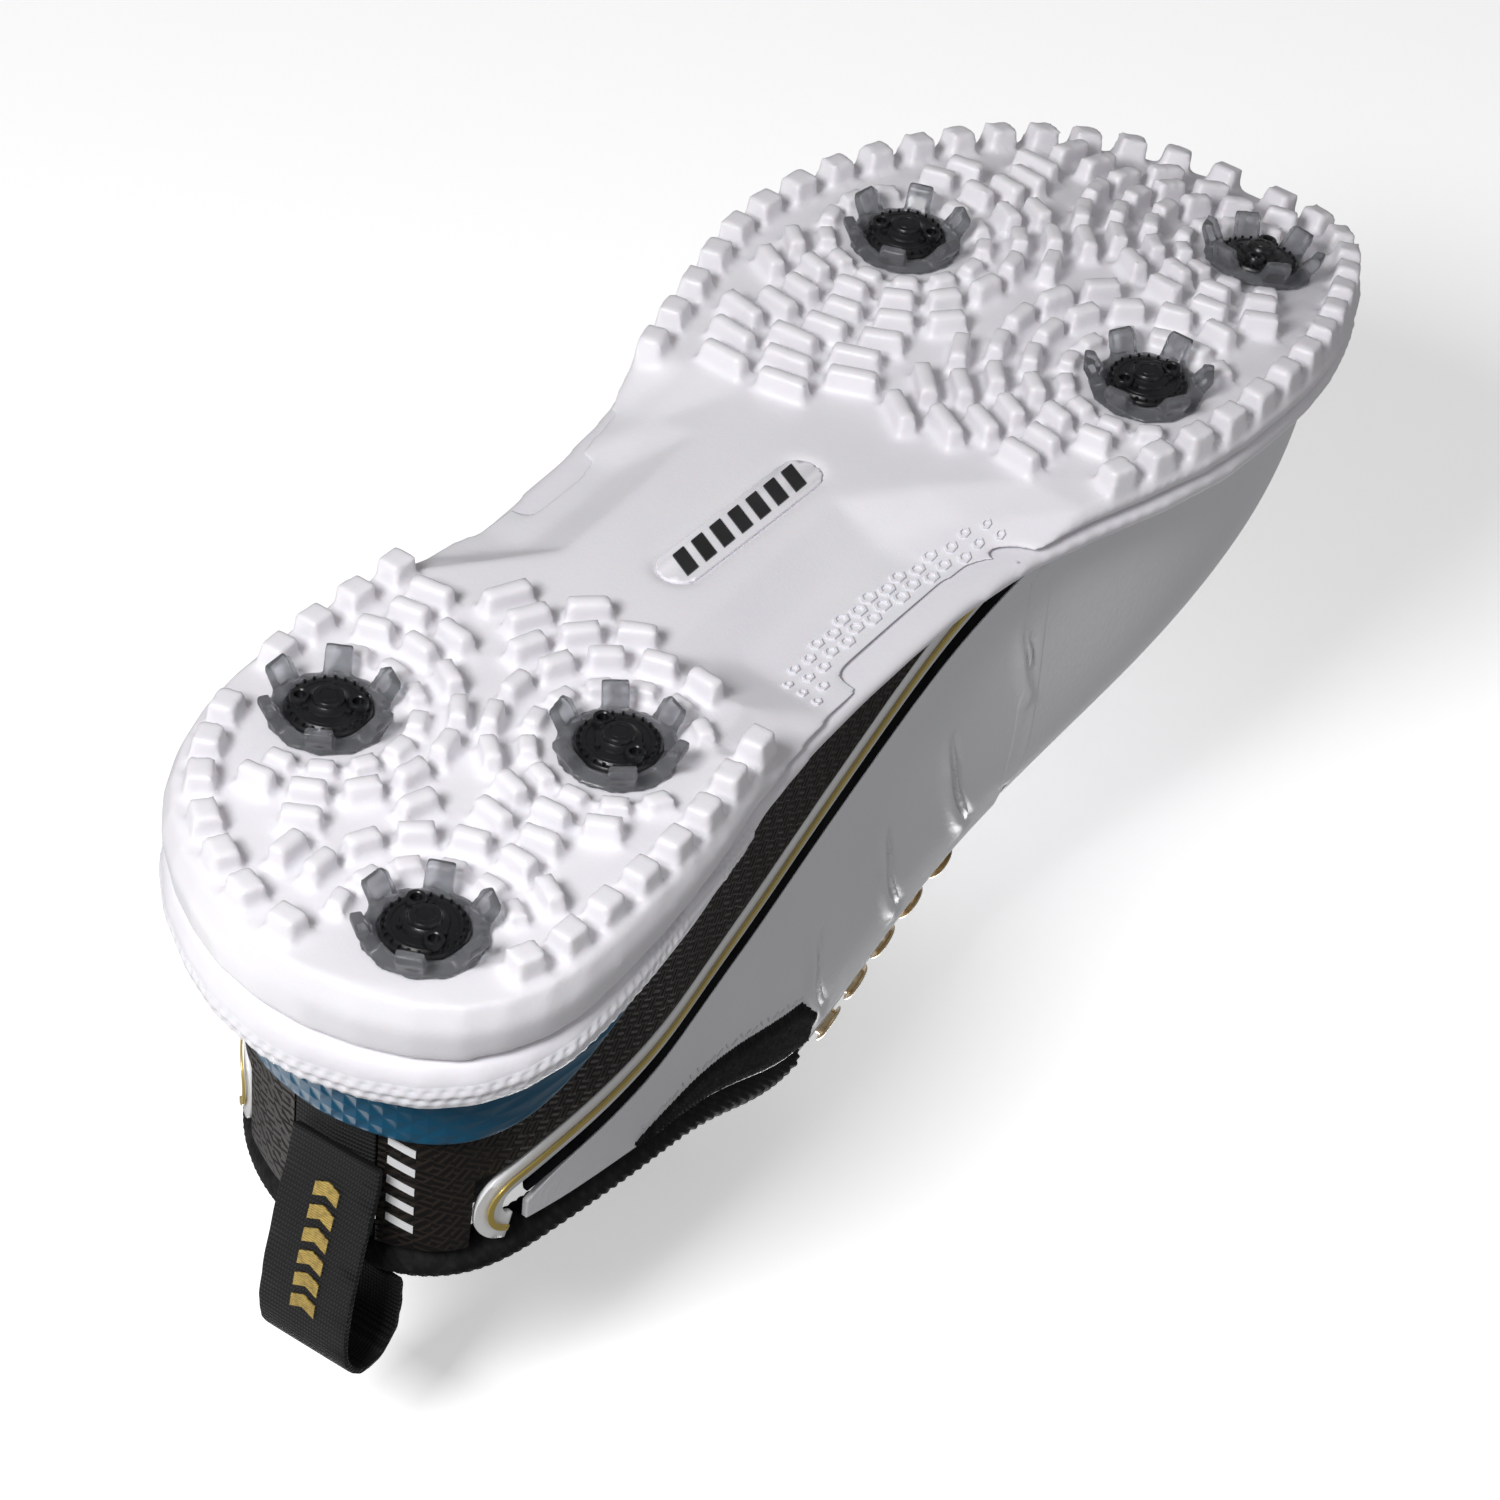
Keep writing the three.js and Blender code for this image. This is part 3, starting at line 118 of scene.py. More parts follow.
def make_lights():
    over = CAMERA_UP
    right = (CAMERA_AIM - CAMERA_PLACE).cross(over).normalized()
    soft_light("key_below", CAMERA_PLACE * 0.9 + over * 0.14 - right * 0.32, 0.26, 7.2)
    soft_light("fill_below", CAMERA_PLACE * 0.8 + right * 0.9 - over * 0.2, 1.0, 1.5)
    soft_light("key_above", Vector((-0.25, -0.45, 1.25)), 0.7, 13)
    soft_light("fill_above", Vector((-0.8, 0.6, 0.9)), 1.0, 7)


def make_world():
    world = bpy.data.worlds.new("studio")
    world.use_nodes = True
    background = world.node_tree.nodes["Background"]
    background.inputs["Color"].default_value = (1, 1, 1, 1)
    background.inputs["Strength"].default_value = 0.24
    bpy.context.scene.world = world
    bpy.context.scene.view_settings.view_transform = "Standard"


def stage_material():
    """White on the plane's front; its back isn't seen."""
    material = bpy.data.materials.new("stage_white")
    material.use_nodes = True
    tree = material.node_tree
    tree.nodes.clear()
    output = tree.nodes.new("ShaderNodeOutputMaterial")
    mix = tree.nodes.new("ShaderNodeMixShader")
    side = tree.nodes.new("ShaderNodeNewGeometry")
    white = tree.nodes.new("ShaderNodeBsdfPrincipled")
    white.inputs["Base Color"].default_value = (0.93, 0.93, 0.935, 1)
    white.inputs["Roughness"].default_value = 0.9
    white.inputs["Emission Color"].default_value = (1, 1, 1, 1)
    white.inputs["Emission Strength"].default_value = 0.42
    clear = tree.nodes.new("ShaderNodeBsdfTransparent")
    tree.links.new(side.outputs["Backfacing"], mix.inputs[0])
    tree.links.new(white.outputs[0], mix.inputs[1])
    tree.links.new(clear.outputs[0], mix.inputs[2])
    tree.links.new(mix.outputs[0], output.inputs[0])
    return material


def stage_plane(name, z, up, material):
    half = STAGE_HALF
    corners = [(-half, -half, z), (half, -half, z), (half, half, z), (-half, half, z)]
    mesh = bpy.data.meshes.new(name)
    mesh.from_pydata(corners, [], [(0, 1, 2, 3) if up else (3, 2, 1, 0)])
    mesh.materials.append(material)
    plane = bpy.data.objects.new(name, mesh)
    bpy.context.scene.collection.objects.link(plane)
    plane.visible_shadow = False
    plane.visible_diffuse = False
    plane.visible_glossy = False
    plane.visible_transmission = False


def make_stage():
    """A floor under the shoe for views from above, and one over it for views of the sole."""
    material = stage_material()
    stage_plane("floor", -0.0002, True, material)
    stage_plane("backdrop", CAD_BOX[1].z + 0.002, False, material)


# ---------------------------------------------------------------- materials
class Look:
    """A Principled material with a few procedural layers."""

    def __init__(self, name, colour, roughness, **sockets):
        self.material = bpy.data.materials.new(name)
        self.material.use_nodes = True
        self.tree = self.material.node_tree
        self.shader = self.tree.nodes["Principled BSDF"]
        self.colour = (*colour, 1)
        self.shader.inputs["Base Color"].default_value = self.colour
        self.shader.inputs["Roughness"].default_value = roughness
        for key, value in sockets.items():
            self.shader.inputs[key.replace("_", " ")].default_value = value
        self.place = self.tree.nodes.new("ShaderNodeTexCoord").outputs["Object"]
        self.normal = None

    def node(self, kind, **values):
        made = self.tree.nodes.new("ShaderNode" + kind)
        for key, value in values.items():
            setattr(made, key, value)
        return made

    def turned(self, rotation):
        mapping = self.node("Mapping")
        mapping.inputs["Rotation"].default_value = rotation
        self.tree.links.new(self.place, mapping.inputs["Vector"])
        return mapping.outputs["Vector"]

    def noise(self, scale, detail):
        noise = self.node("TexNoise")
        noise.inputs["Scale"].default_value = scale
        noise.inputs["Detail"].default_value = detail
        self.tree.links.new(self.place, noise.inputs["Vector"])
        return noise.outputs["Fac"]

    def cells(self, scale, feature="F1"):
        cells = self.node("TexVoronoi", feature=feature)
        cells.inputs["Scale"].default_value = scale
        self.tree.links.new(self.place, cells.inputs["Vector"])
        return cells.outputs["Distance"]

    def wave(self, scale, direction, vector=None):
        wave = self.node("TexWave", wave_type="BANDS", bands_direction=direction)
        wave.inputs["Scale"].default_value = scale
        self.tree.links.new(vector or self.place, wave.inputs["Vector"])
        return wave.outputs["Fac"]

    def maths(self, operation, a, b):
        node = self.node("Math", operation=operation)
        self.tree.links.new(a, node.inputs[0])
        self.tree.links.new(b, node.inputs[1])
        return node.outputs[0]

    def tint(self, factor, other, low, high):
        """Runs the base colour towards other as factor goes from low to high."""
        ramp = self.node("ValToRGB")
        ramp.color_ramp.elements[0].position = low
        ramp.color_ramp.elements[1].position = high
        ramp.color_ramp.elements[0].color = self.colour
        ramp.color_ramp.elements[1].color = (*other, 1)
        self.tree.links.new(factor, ramp.inputs[0])
        self.tree.links.new(ramp.outputs[0], self.shader.inputs["Base Color"])
        return self

    def rough(self, factor, low, high):
        span = self.node("MapRange")
        span.inputs["To Min"].default_value = low
        span.inputs["To Max"].default_value = high
        self.tree.links.new(factor, span.inputs["Value"])
        self.tree.links.new(span.outputs[0], self.shader.inputs["Roughness"])
        return self

    def bump(self, height, strength, distance):
        bump = self.node("Bump")
        bump.inputs["Strength"].default_value = strength
        bump.inputs["Distance"].default_value = distance
        self.tree.links.new(height, bump.inputs["Height"])
        if self.normal:
            self.tree.links.new(self.normal, bump.inputs["Normal"])
        self.normal = bump.outputs["Normal"]
        self.tree.links.new(self.normal, self.shader.inputs["Normal"])
        return self


def white_rubber():
    made = Look("white_rubber", (0.80, 0.785, 0.82), 0.42, Subsurface_Weight=0.06, Subsurface_Scale=0.002)
    made.tint(made.noise(22, 4), (0.72, 0.70, 0.745), 0.35, 0.9)
    made.rough(made.noise(60, 4), 0.34, 0.52)
    made.bump(made.noise(1400, 2), 0.12, 0.0003)
    return made.material


def white_foam():
    made = Look("white_foam", (0.79, 0.775, 0.815), 0.46, Subsurface_Weight=0.06, Subsurface_Scale=0.002)
    made.tint(made.noise(16, 4), (0.73, 0.71, 0.76), 0.35, 0.9)
    made.rough(made.noise(90, 3), 0.4, 0.55)
    made.bump(made.cells(900), 0.08, 0.0003)
    return made.material


def blue_tpu():
    made = Look("blue_tpu", (0.004, 0.085, 0.165), 0.3, Specular_IOR_Level=0.35)
    made.tint(made.noise(30, 2), (0.003, 0.055, 0.115), 0.3, 0.8)
    slanted = made.turned((0, math.radians(45), 0))
    first = made.wave(95, "X", slanted)
    second = made.wave(95, "Z", slanted)
    made.bump(made.maths("MINIMUM", first, second), 0.5, 0.0006)
    return made.material


def white_leather():
    made = Look("white_leather", (0.76, 0.765, 0.79), 0.44, Coat_Weight=0.12, Coat_Roughness=0.35)
    made.tint(made.noise(14, 5), (0.69, 0.695, 0.725), 0.35, 0.85)
    made.rough(made.noise(45, 4), 0.38, 0.55)
    made.bump(made.cells(1100, "SMOOTH_F1"), 0.22, 0.0003)
    made.bump(made.noise(260, 6), 0.16, 0.0006)
    return made.material


def stripe_film():
    made = Look("stripe_film", (0.80, 0.80, 0.81), 0.3, Coat_Weight=0.3, Coat_Roughness=0.15)
    made.tint(made.noise(25, 3), (0.74, 0.74, 0.76), 0.35, 0.85)
    made.bump(made.noise(500, 3), 0.1, 0.0003)
    return made.material


def black_line():
    made = Look("black_line", (0.004, 0.004, 0.005), 0.9, Specular_IOR_Level=0.02)
    made.tint(made.noise(140, 4), (0.012, 0.012, 0.0135), 0.35, 0.8)
    made.bump(made.wave(420, "DIAGONAL"), 0.25, 0.0003)
    return made.material


def carbon_weave():
    """Squares of yarn, laid by turns along and across; the colour runs lighter on the crown of each yarn band, a
    painted highlight.
    """
    made = Look("carbon_weave", (0.006, 0.0047, 0.0042), 0.5, Specular_IOR_Level=0.16)
    slanted = made.turned((math.radians(32), 0, 0))
    checks = made.node("TexChecker")
    checks.inputs["Scale"].default_value = 400
    made.tree.links.new(slanted, checks.inputs["Vector"])
    along = made.wave(250, "Y", slanted)
    across = made.wave(250, "Z", slanted)
    weave_and_highlight = made.node("Mix", data_type="FLOAT")
    made.tree.links.new(checks.outputs["Fac"], weave_and_highlight.inputs[0])
    made.tree.links.new(along, weave_and_highlight.inputs[2])
    made.tree.links.new(across, weave_and_highlight.inputs[3])
    yarn = weave_and_highlight.outputs[0]
    # painted highlight: the yarn pattern lightens the colour along the crown of each band; the weave itself is
    # real and also drives the bump
    made.tint(yarn, (0.024, 0.0175, 0.0135), 0.35, 1.0)
    made.bump(yarn, 0.6, 0.0006)
    return made.material


def ribbed_knit():
    made = Look("ribbed_knit", (0.005, 0.005, 0.0055), 0.85, Specular_IOR_Level=0.25)
    made.tint(made.noise(420, 4), (0.02, 0.0195, 0.021), 0.45, 0.85)
    made.bump(made.noise(900, 4), 0.5, 0.0006)
    return made.material


def tongue_mesh():
    made = Look("tongue_mesh", (0.010, 0.010, 0.012), 0.85, Sheen_Weight=0.25, Sheen_Roughness=0.5)
    holes = made.cells(420)
    made.tint(holes, (0.045, 0.045, 0.05), 0.15, 0.7)
    made.bump(holes, 0.6, 0.0006)
    return made.material


def woven_webbing():
    made = Look("woven_webbing", (0.005, 0.005, 0.0055), 0.75, Specular_IOR_Level=0.3)
    rib = made.wave(330, "Z")
    yarn = made.wave(520, "X")
    made.tint(made.maths("MULTIPLY", rib, yarn), (0.022, 0.0215, 0.023), 0.2, 0.9)
    made.bump(rib, 0.7, 0.0006)
    made.bump(yarn, 0.35, 0.0004)
    return made.material


def gold_yarn():
    made = Look("gold_yarn", (0.42, 0.29, 0.06), 0.5, Metallic=0.35)
    made.tint(made.noise(900, 2), (0.25, 0.17, 0.03), 0.4, 0.7)
    made.bump(made.wave(700, "Z"), 0.5, 0.0004)
    return made.material


def gold_film():
    made = Look("gold_film", (0.62, 0.47, 0.13), 0.3, Metallic=0.55)
    made.tint(made.noise(60, 3), (0.50, 0.37, 0.09), 0.35, 0.8)
    made.bump(made.noise(700, 2), 0.1, 0.0003)
    return made.material


def eyelet_metal():
    made = Look("eyelet_metal", (0.72, 0.57, 0.36), 0.24, Metallic=1.0)
    made.rough(made.noise(240, 5), 0.16, 0.36)
    made.tint(made.noise(90, 4), (0.58, 0.44, 0.26), 0.4, 0.9)
    made.bump(made.noise(800, 3), 0.08, 0.0002)
    return made.material


def cleat_black():
    made = Look("cleat_black", (0.005, 0.0055, 0.0065), 0.3, Specular_IOR_Level=0.4)
    made.tint(made.noise(120, 3), (0.012, 0.0125, 0.014), 0.4, 0.85)
    made.rough(made.noise(200, 3), 0.22, 0.42)
    made.bump(made.noise(1500, 2), 0.15, 0.0002)
    return made.material


def cleat_smoke():
    made = Look("cleat_smoke", (0.55, 0.56, 0.585), 0.12, Transmission_Weight=0.85, IOR=1.3)
    made.tint(made.noise(110, 3), (0.40, 0.41, 0.435), 0.35, 0.85)
    made.rough(made.noise(160, 4), 0.1, 0.3)
    made.bump(made.noise(900, 2), 0.1, 0.0002)
    return made.material


def receptacle_plastic():
    made = Look("receptacle_plastic", (0.018, 0.019, 0.022), 0.5)
    made.tint(made.noise(150, 3), (0.03, 0.031, 0.035), 0.35, 0.8)
    made.bump(made.noise(1000, 3), 0.2, 0.0003)
    return made.material


def fibre_board():
    made = Look("fibre_board", (0.42, 0.34, 0.23), 0.85)
    made.tint(made.noise(500, 6), (0.30, 0.235, 0.15), 0.35, 0.75)
    made.bump(made.noise(700, 5), 0.4, 0.0004)
    return made.material


def shank_composite():
    made = Look("shank_composite", (0.022, 0.023, 0.026), 0.4)
    made.tint(made.wave(260, "DIAGONAL"), (0.05, 0.05, 0.055), 0.2, 0.9)
    made.bump(made.noise(900, 3), 0.2, 0.0003)
    return made.material


def footbed_cloth():
    made = Look("footbed_cloth", (0.022, 0.025, 0.032), 0.9, Sheen_Weight=0.25, Sheen_Roughness=0.5)
    weave = made.maths("MULTIPLY", made.wave(360, "X"), made.wave(360, "Y"))
    made.tint(weave, (0.05, 0.053, 0.06), 0.2, 0.9)
    made.bump(weave, 0.5, 0.0005)
    return made.material


def lining_mesh():
    made = Look("lining_mesh", (0.012, 0.013, 0.015), 0.9, Sheen_Weight=0.2, Sheen_Roughness=0.5)
    holes = made.cells(520)
    made.tint(holes, (0.035, 0.036, 0.04), 0.15, 0.7)
    made.bump(holes, 0.5, 0.0005)
    return made.material


def stiffener_sheet():
    made = Look("stiffener_sheet", (0.60, 0.56, 0.50), 0.7)
    made.tint(made.noise(240, 5), (0.50, 0.46, 0.40), 0.35, 0.75)
    made.bump(made.noise(600, 4), 0.3, 0.0004)
    return made.material


def bar_black():
    made = Look("bar_black", (0.010, 0.010, 0.011), 0.34)
    made.tint(made.noise(200, 3), (0.02, 0.02, 0.022), 0.4, 0.8)
    made.bump(made.noise(1200, 2), 0.15, 0.0002)
    return made.material


def thread_white():
    made = Look("thread_white", (0.74, 0.74, 0.76), 0.7, Sheen_Weight=0.2)
    made.tint(made.noise(900, 2), (0.60, 0.60, 0.63), 0.35, 0.75)
    made.bump(made.wave(1500, "DIAGONAL"), 0.4, 0.0002)
    return made.material


MATERIALS = {
    "white_rubber": white_rubber(),
    "white_foam": white_foam(),
    "blue_tpu": blue_tpu(),
    "white_leather": white_leather(),
    "stripe_leather": stripe_film(),
    "black_line": black_line(),
    "carbon_weave": carbon_weave(),
    "knit": ribbed_knit(),
    "tongue_knit": tongue_mesh(),
    "webbing": woven_webbing(),
    "gold": gold_film(),
    "gold_yarn": gold_yarn(),
    "eyelet_metal": eyelet_metal(),
    "cleat_hub": cleat_black(),
    "cleat_clear": cleat_smoke(),
    "receptacle": receptacle_plastic(),
    "board": fibre_board(),
    "shank": shank_composite(),
    "footbed": footbed_cloth(),
    "lining": lining_mesh(),
    "stiffener": stiffener_sheet(),
    "badge": white_rubber(),
    "bar_black": bar_black(),
    "thread": thread_white(),
}


# ---------------------------------------------------------------- mesh tools
def add_piece(name, mesh, slot, body="shoe", material=None):
    """A new piece with its material, riding on a body."""
    mesh.materials.clear()
    mesh.materials.append(MATERIALS[material or slot])
    piece = bpy.data.objects.new(name, mesh)
    bpy.context.scene.collection.objects.link(piece)
    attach(piece, body)
    return piece


def welded(node):
    """A copy of a node's mesh with its split corners joined again."""
    mesh = NODES[node].data.copy()
    work = bmesh.new()
    work.from_mesh(mesh)
    bmesh.ops.remove_doubles(work, verts=work.verts, dist=2e-6)
    work.normal_update()
    work.to_mesh(mesh)
    work.free()
    return mesh


def bake(piece):
    """Puts the result of a piece's modifiers into its mesh."""
    graph = bpy.context.evaluated_depsgraph_get()
    mesh = bpy.data.meshes.new_from_object(piece.evaluated_get(graph))
    piece.modifiers.clear()
    piece.data = mesh


def smooth_shading(piece, angle=None):
    piece.data.polygons.foreach_set("use_smooth", [True] * len(piece.data.polygons))
    if angle is not None:
        piece.data.set_sharp_from_angle(angle=math.radians(angle))


def places(piece):
    """Vertex places as an array, in metres."""
    flat = np.empty(len(piece.data.vertices) * 3)
    piece.data.vertices.foreach_get("co", flat)
    return flat.reshape(-1, 3)


def directions(piece):
    """Vertex normals as an array."""
    flat = np.empty(len(piece.data.vertices) * 3)
    piece.data.vertices.foreach_get("normal", flat)
    return flat.reshape(-1, 3)


def put_back(piece, co):
    piece.data.vertices.foreach_set("co", co.ravel())
    piece.data.update()


def stand_for(piece, node):
    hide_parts(node)
    return piece


def moulded(node, voxel, rounds):
    """The node as a soft-edged moulding: remeshed in small cells, then relaxed."""
    piece = add_piece(node + "_moulded", welded(node), SLOT_OF[node], BODY_OF[node])
    cells = piece.modifiers.new("cells", "REMESH")
    cells.mode = "VOXEL"
    cells.voxel_size = voxel * MM
    relax = piece.modifiers.new("relax", "SMOOTH")
    relax.factor = 0.5
    relax.iterations = rounds
    bake(piece)
    smooth_shading(piece)
    return stand_for(piece, node)


def curved(node, levels, corner=50):
    """The node with its panels rounded off by subdivision, its edges kept crisp."""
    mesh = welded(node)
    work = bmesh.new()
    work.from_mesh(mesh)
    bmesh.ops.join_triangles(work, faces=work.faces, angle_face_threshold=math.radians(30),
                             angle_shape_threshold=math.radians(60))
    crease = work.edges.layers.float.new("crease_edge")
    for edge in work.edges:
        if edge.calc_face_angle(0) > math.radians(corner):
            edge[crease] = 0.9
    work.to_mesh(mesh)
    work.free()
    piece = add_piece(node + "_shaped", mesh, SLOT_OF[node], BODY_OF[node])
    rounder = piece.modifiers.new("rounder", "SUBSURF")
    rounder.levels = levels
    rounder.render_levels = levels
    bake(piece)
    smooth_shading(piece, 40)
    return stand_for(piece, node)


def surface_of(*pieces):
    """One tree to cast rays at, made from several pieces."""
    points, faces = [], []
    for piece in pieces:
        start = len(points)
        points += [vertex.co.copy() for vertex in piece.data.vertices]
        faces += [[start + i for i in polygon.vertices] for polygon in piece.data.polygons]
    return BVHTree.FromPolygons(points, faces)


def from_side(tree, side):
    """Casts (y, z) in millimetres sideways onto the medial or lateral wall."""
    def cast(y, z):
        place, normal, _, _ = tree.ray_cast(Vector((side * 0.2, y * MM, z * MM)), Vector((-side, 0, 0)))
        return place, normal
    return cast


def from_below(tree):
    """Casts (x, y) in millimetres upwards onto the sole."""
    def cast(x, y):
        place, normal, _, _ = tree.ray_cast(Vector((x * MM, y * MM, -0.1)), Vector((0, 0, 1)))
        return place, normal
    return cast


def from_behind(tree):
    """Casts (x, z) in millimetres forwards onto the heel."""
    def cast(x, z):
        place, normal, _, _ = tree.ray_cast(Vector((x * MM, 0.3, z * MM)), Vector((0, -1, 0)))
        return place, normal
    return cast


def from_round(tree, centre):
    """Casts (degrees from +X, z) inwards to an upright axis through centre, in millimetres."""
    def cast(degrees, z):
        turn = math.radians(degrees)
        out = Vector((math.cos(turn), math.sin(turn), 0))
        start = Vector((centre[0] * MM, centre[1] * MM, z * MM)) + out * 0.2
        place, normal, _, _ = tree.ray_cast(start, -out)
        return place, normal
    return cast


def draped(grid, low, high):
    """Closed skin over a grid of (place, normal): from low to high millimetres along the normals.
    high may be a number or a function of the row and column."""
    rows, columns = len(grid), len(grid[0])
    lift = high if callable(high) else (lambda i, j: high)
    points, faces = [], []
    for i in range(rows):
        for j in range(columns):
            place, normal = grid[i][j]
            points.append(place + normal * low * MM)
            points.append(place + normal * lift(i, j) * MM)

    def at(i, j, top):
        return 2 * (i * columns + j) + top

    for i in range(rows - 1):
        for j in range(columns - 1):
            faces.append((at(i, j, 1), at(i, j + 1, 1), at(i + 1, j + 1, 1), at(i + 1, j, 1)))
            faces.append((at(i, j, 0), at(i + 1, j, 0), at(i + 1, j + 1, 0), at(i, j + 1, 0)))
    for i in range(rows - 1):
        faces.append((at(i, 0, 0), at(i, 0, 1), at(i + 1, 0, 1), at(i + 1, 0, 0)))
        faces.append((at(i, columns - 1, 0), at(i + 1, columns - 1, 0),
                      at(i + 1, columns - 1, 1), at(i, columns - 1, 1)))
    for j in range(columns - 1):
        faces.append((at(0, j, 0), at(0, j + 1, 0), at(0, j + 1, 1), at(0, j, 1)))
        faces.append((at(rows - 1, j, 0), at(rows - 1, j, 1),
                      at(rows - 1, j + 1, 1), at(rows - 1, j + 1, 0)))
    return points, faces


def mesh_from(name, shells):
    """One mesh from several (points, faces) shells, its faces turned outwards."""
    points, faces = [], []
    for shell_points, shell_faces in shells:
        start = len(points)
        points += [tuple(p) for p in shell_points]
        faces += [[start + i for i in face] for face in shell_faces]
    mesh = bpy.data.meshes.new(name)
    mesh.from_pydata(points, [], faces)
    work = bmesh.new()
    work.from_mesh(mesh)
    bmesh.ops.recalc_face_normals(work, faces=work.faces)
    work.to_mesh(mesh)
    work.free()
    return mesh


STITCH_LENGTH = 2.1
STITCH_WIDTH = 0.55
STITCH_SPACING = 2.9


def stitch(place, along, normal):
    """One stitch: a small pointed bead that lies along the seam."""
    across = along.cross(normal).normalized()
    points, faces = [], []
    rings = [(-0.5, 0.15), (-0.3, 0.85), (0, 1), (0.3, 0.85), (0.5, 0.15)]
    sides = 6
    for step, girth in rings:
        for k in range(sides):
            turn = 2 * math.pi * k / sides
            offset = across * math.cos(turn) + normal * math.sin(turn) * 0.8
            points.append(place + (along * step * STITCH_LENGTH + offset * girth * STITCH_WIDTH / 2) * MM)
    for r in range(len(rings) - 1):
        for k in range(sides):
            n = (k + 1) % sides
            faces.append((r * sides + k, r * sides + n, (r + 1) * sides + n, (r + 1) * sides + k))
    faces.append(tuple(range(sides)))
    faces.append(tuple(reversed(range((len(rings) - 1) * sides, len(rings) * sides))))
    return points, faces


def seam_stitches(name, path):
    """A row of stitches along a path of (place, normal)."""
    shells = []
    travelled = STITCH_SPACING
    for (a, _), (b, normal) in zip(path, path[1:]):
        travelled += (b - a).length / MM
        if travelled >= STITCH_SPACING:
            travelled = 0
            along = (b - a).normalized()
            shells.append(stitch(b + normal * 0.12 * MM, along, normal))
    piece = add_piece(name, mesh_from(name, shells), "white_leather", "shoe", "thread")
    smooth_shading(piece)


# ---------------------------------------------------------------- sole
def outsole():
    piece = moulded("outsole", 0.75, 3)
    relax_where(piece, waist_share, 16)
    relax_where(piece, wall_share, 30)
    return piece


def waist_share(co):
    """1 on the smooth strip between heel and forefoot lugs."""
    y = co[:, 1] / MM
    return np.clip((y + 19) / 8, 0, 1) * np.clip((55 - y) / 8, 0, 1)


def wall_share(co):
    """1 on the upright wall above the lug roots, behind the ball."""
    y, z = co[:, 1] / MM, co[:, 2] / MM
    return np.clip((z - 8.2) / 1.5, 0, 1) * np.clip((y + 60) / 12, 0, 1)


def relax_where(piece, share, rounds):
    weights = share(places(piece))
    group = piece.vertex_groups.new(name="soft")
    for index in np.nonzero(weights > 0.05)[0]:
        group.add([int(index)], float(weights[index]), "REPLACE")
    relax = piece.modifiers.new("relax", "SMOOTH")
    relax.vertex_group = "soft"
    relax.factor = 0.5
    relax.iterations = rounds
    bake(piece)
    piece.vertex_groups.clear()
    smooth_shading(piece)


def badge_bars(plate_box):
    """A row of plain slanted bars on the plate in the waist."""
    low, high = plate_box
    centre = (low + high) / 2
    count = 7
    pitch = (high.y - low.y) / MM / (count + 1.2)
    half_x = 2.7
    half_y = pitch * 0.3
    slant = 1.4
    shells = []
    for k in range(count):
        y = centre.y / MM + (k - (count - 1) / 2) * pitch
        x = centre.x / MM + (centre.y / MM - y) * math.tan(math.radians(1.5))
        grid = []
        for i in range(5):
            u = i / 2 - 1
            row = []
            for j in range(3):
                v = j - 1
                place = Vector(((x + u * half_x) * MM, (y + v * half_y + u * slant) * MM, low.z))
                row.append((place, Vector((0, 0, -1))))
            grid.append(row)
        shells.append(draped(grid, -0.1, 0.35))
    add_piece("badge_bars", mesh_from("badge_bars", shells), "badge", "shoe", "bar_black")


def dimple_band(midsole):
    """Band of small oval hollows round the upper wall of the heel."""
    cast = from_round(surface_of(midsole), (4, 92))
    rows, rays = 15, 520
    start, end = -28, 208
    kept = []
    for j in range(rays):
        degrees = start + (end - start) * j / (rays - 1)
        back = max(0.0, math.sin(math.radians(degrees)))
        low = 15.5 + 9.5 * back ** 1.3
        height = 3.2 + 3.6 * back
        column = [cast(degrees, low + height * i / (rows - 1)) for i in range(rows)]
        if all(place is not None for place, _ in column):
            kept.append(column)
    grid = [[column[i] for column in kept] for i in range(rows)]
    columns = len(kept)
    step_along, step_up = 0.62, 0.55
    pitch_along, pitch_up = 3.2, 2.5

    def lift(i, j):
        u = j * step_along
        v = i * step_up
        shift = pitch_along / 2 * (int(v // pitch_up) % 2)
        du = ((u + shift) % pitch_along) - pitch_along / 2
        dv = (v % pitch_up) - pitch_up / 2
        inside = max(0.0, 1 - (du / 1.25) ** 2 - (dv / 0.95) ** 2)
        edge = min(i, rows - 1 - i, j, columns - 1 - j, 3) / 3
        return (0.5 - 0.55 * inside) * edge

    piece = add_piece("heel_dimples", mesh_from("heel_dimples", [draped(grid, -0.4, lift)]), "white_foam")
    smooth_shading(piece, 60)


def hexagon_ring(cast, x, y, outer, inner):
    """A raised hexagon outline on the sole's slope."""
    rings = []
    for radius in (inner, outer):
        ring = []
        for k in range(7):
            turn = math.radians(60 * k + 30)
            ring.append(cast(x + 0.8 * radius * math.cos(turn), y + radius * math.sin(turn)))
        rings.append(ring)
    if any(place is None for ring in rings for place, _ in ring):
        return None
    return draped(rings, -0.2, 0.5)


def arch_hexagons(outsole_piece):
    """Small hexagon outlines along the medial slope of the waist, largest in its middle."""
    cast = from_below(surface_of(outsole_piece))
    shells = []
    columns = 15
    rear, length = 42, 58
    row_pitch = 3.1
    hole_share = 0.66
    for column in range(columns):
        share = column / (columns - 1)
        y = rear - length * share
        edge = 31.5 + 3.5 * (2 * share - 1) ** 2 + 3.0 * share
        size = 1.1 + 0.75 * math.sin(math.pi * share)
        for row in range(3):
            shift = 0.9 if column % 2 else 0
            ring = hexagon_ring(cast, edge - row * row_pitch - shift, y, size, size * hole_share)
            if ring:
                shells.append(ring)
    piece = add_piece("arch_hexagons", mesh_from("arch_hexagons", shells), "white_foam")
    smooth_shading(piece, 30)


# ---------------------------------------------------------------- upper
CREASES = [((-26, 34), (-40, 66)), ((-9, 52), (-22, 84)), ((8, 64), (-3, 94)), ((28, 76), (20, 104))]


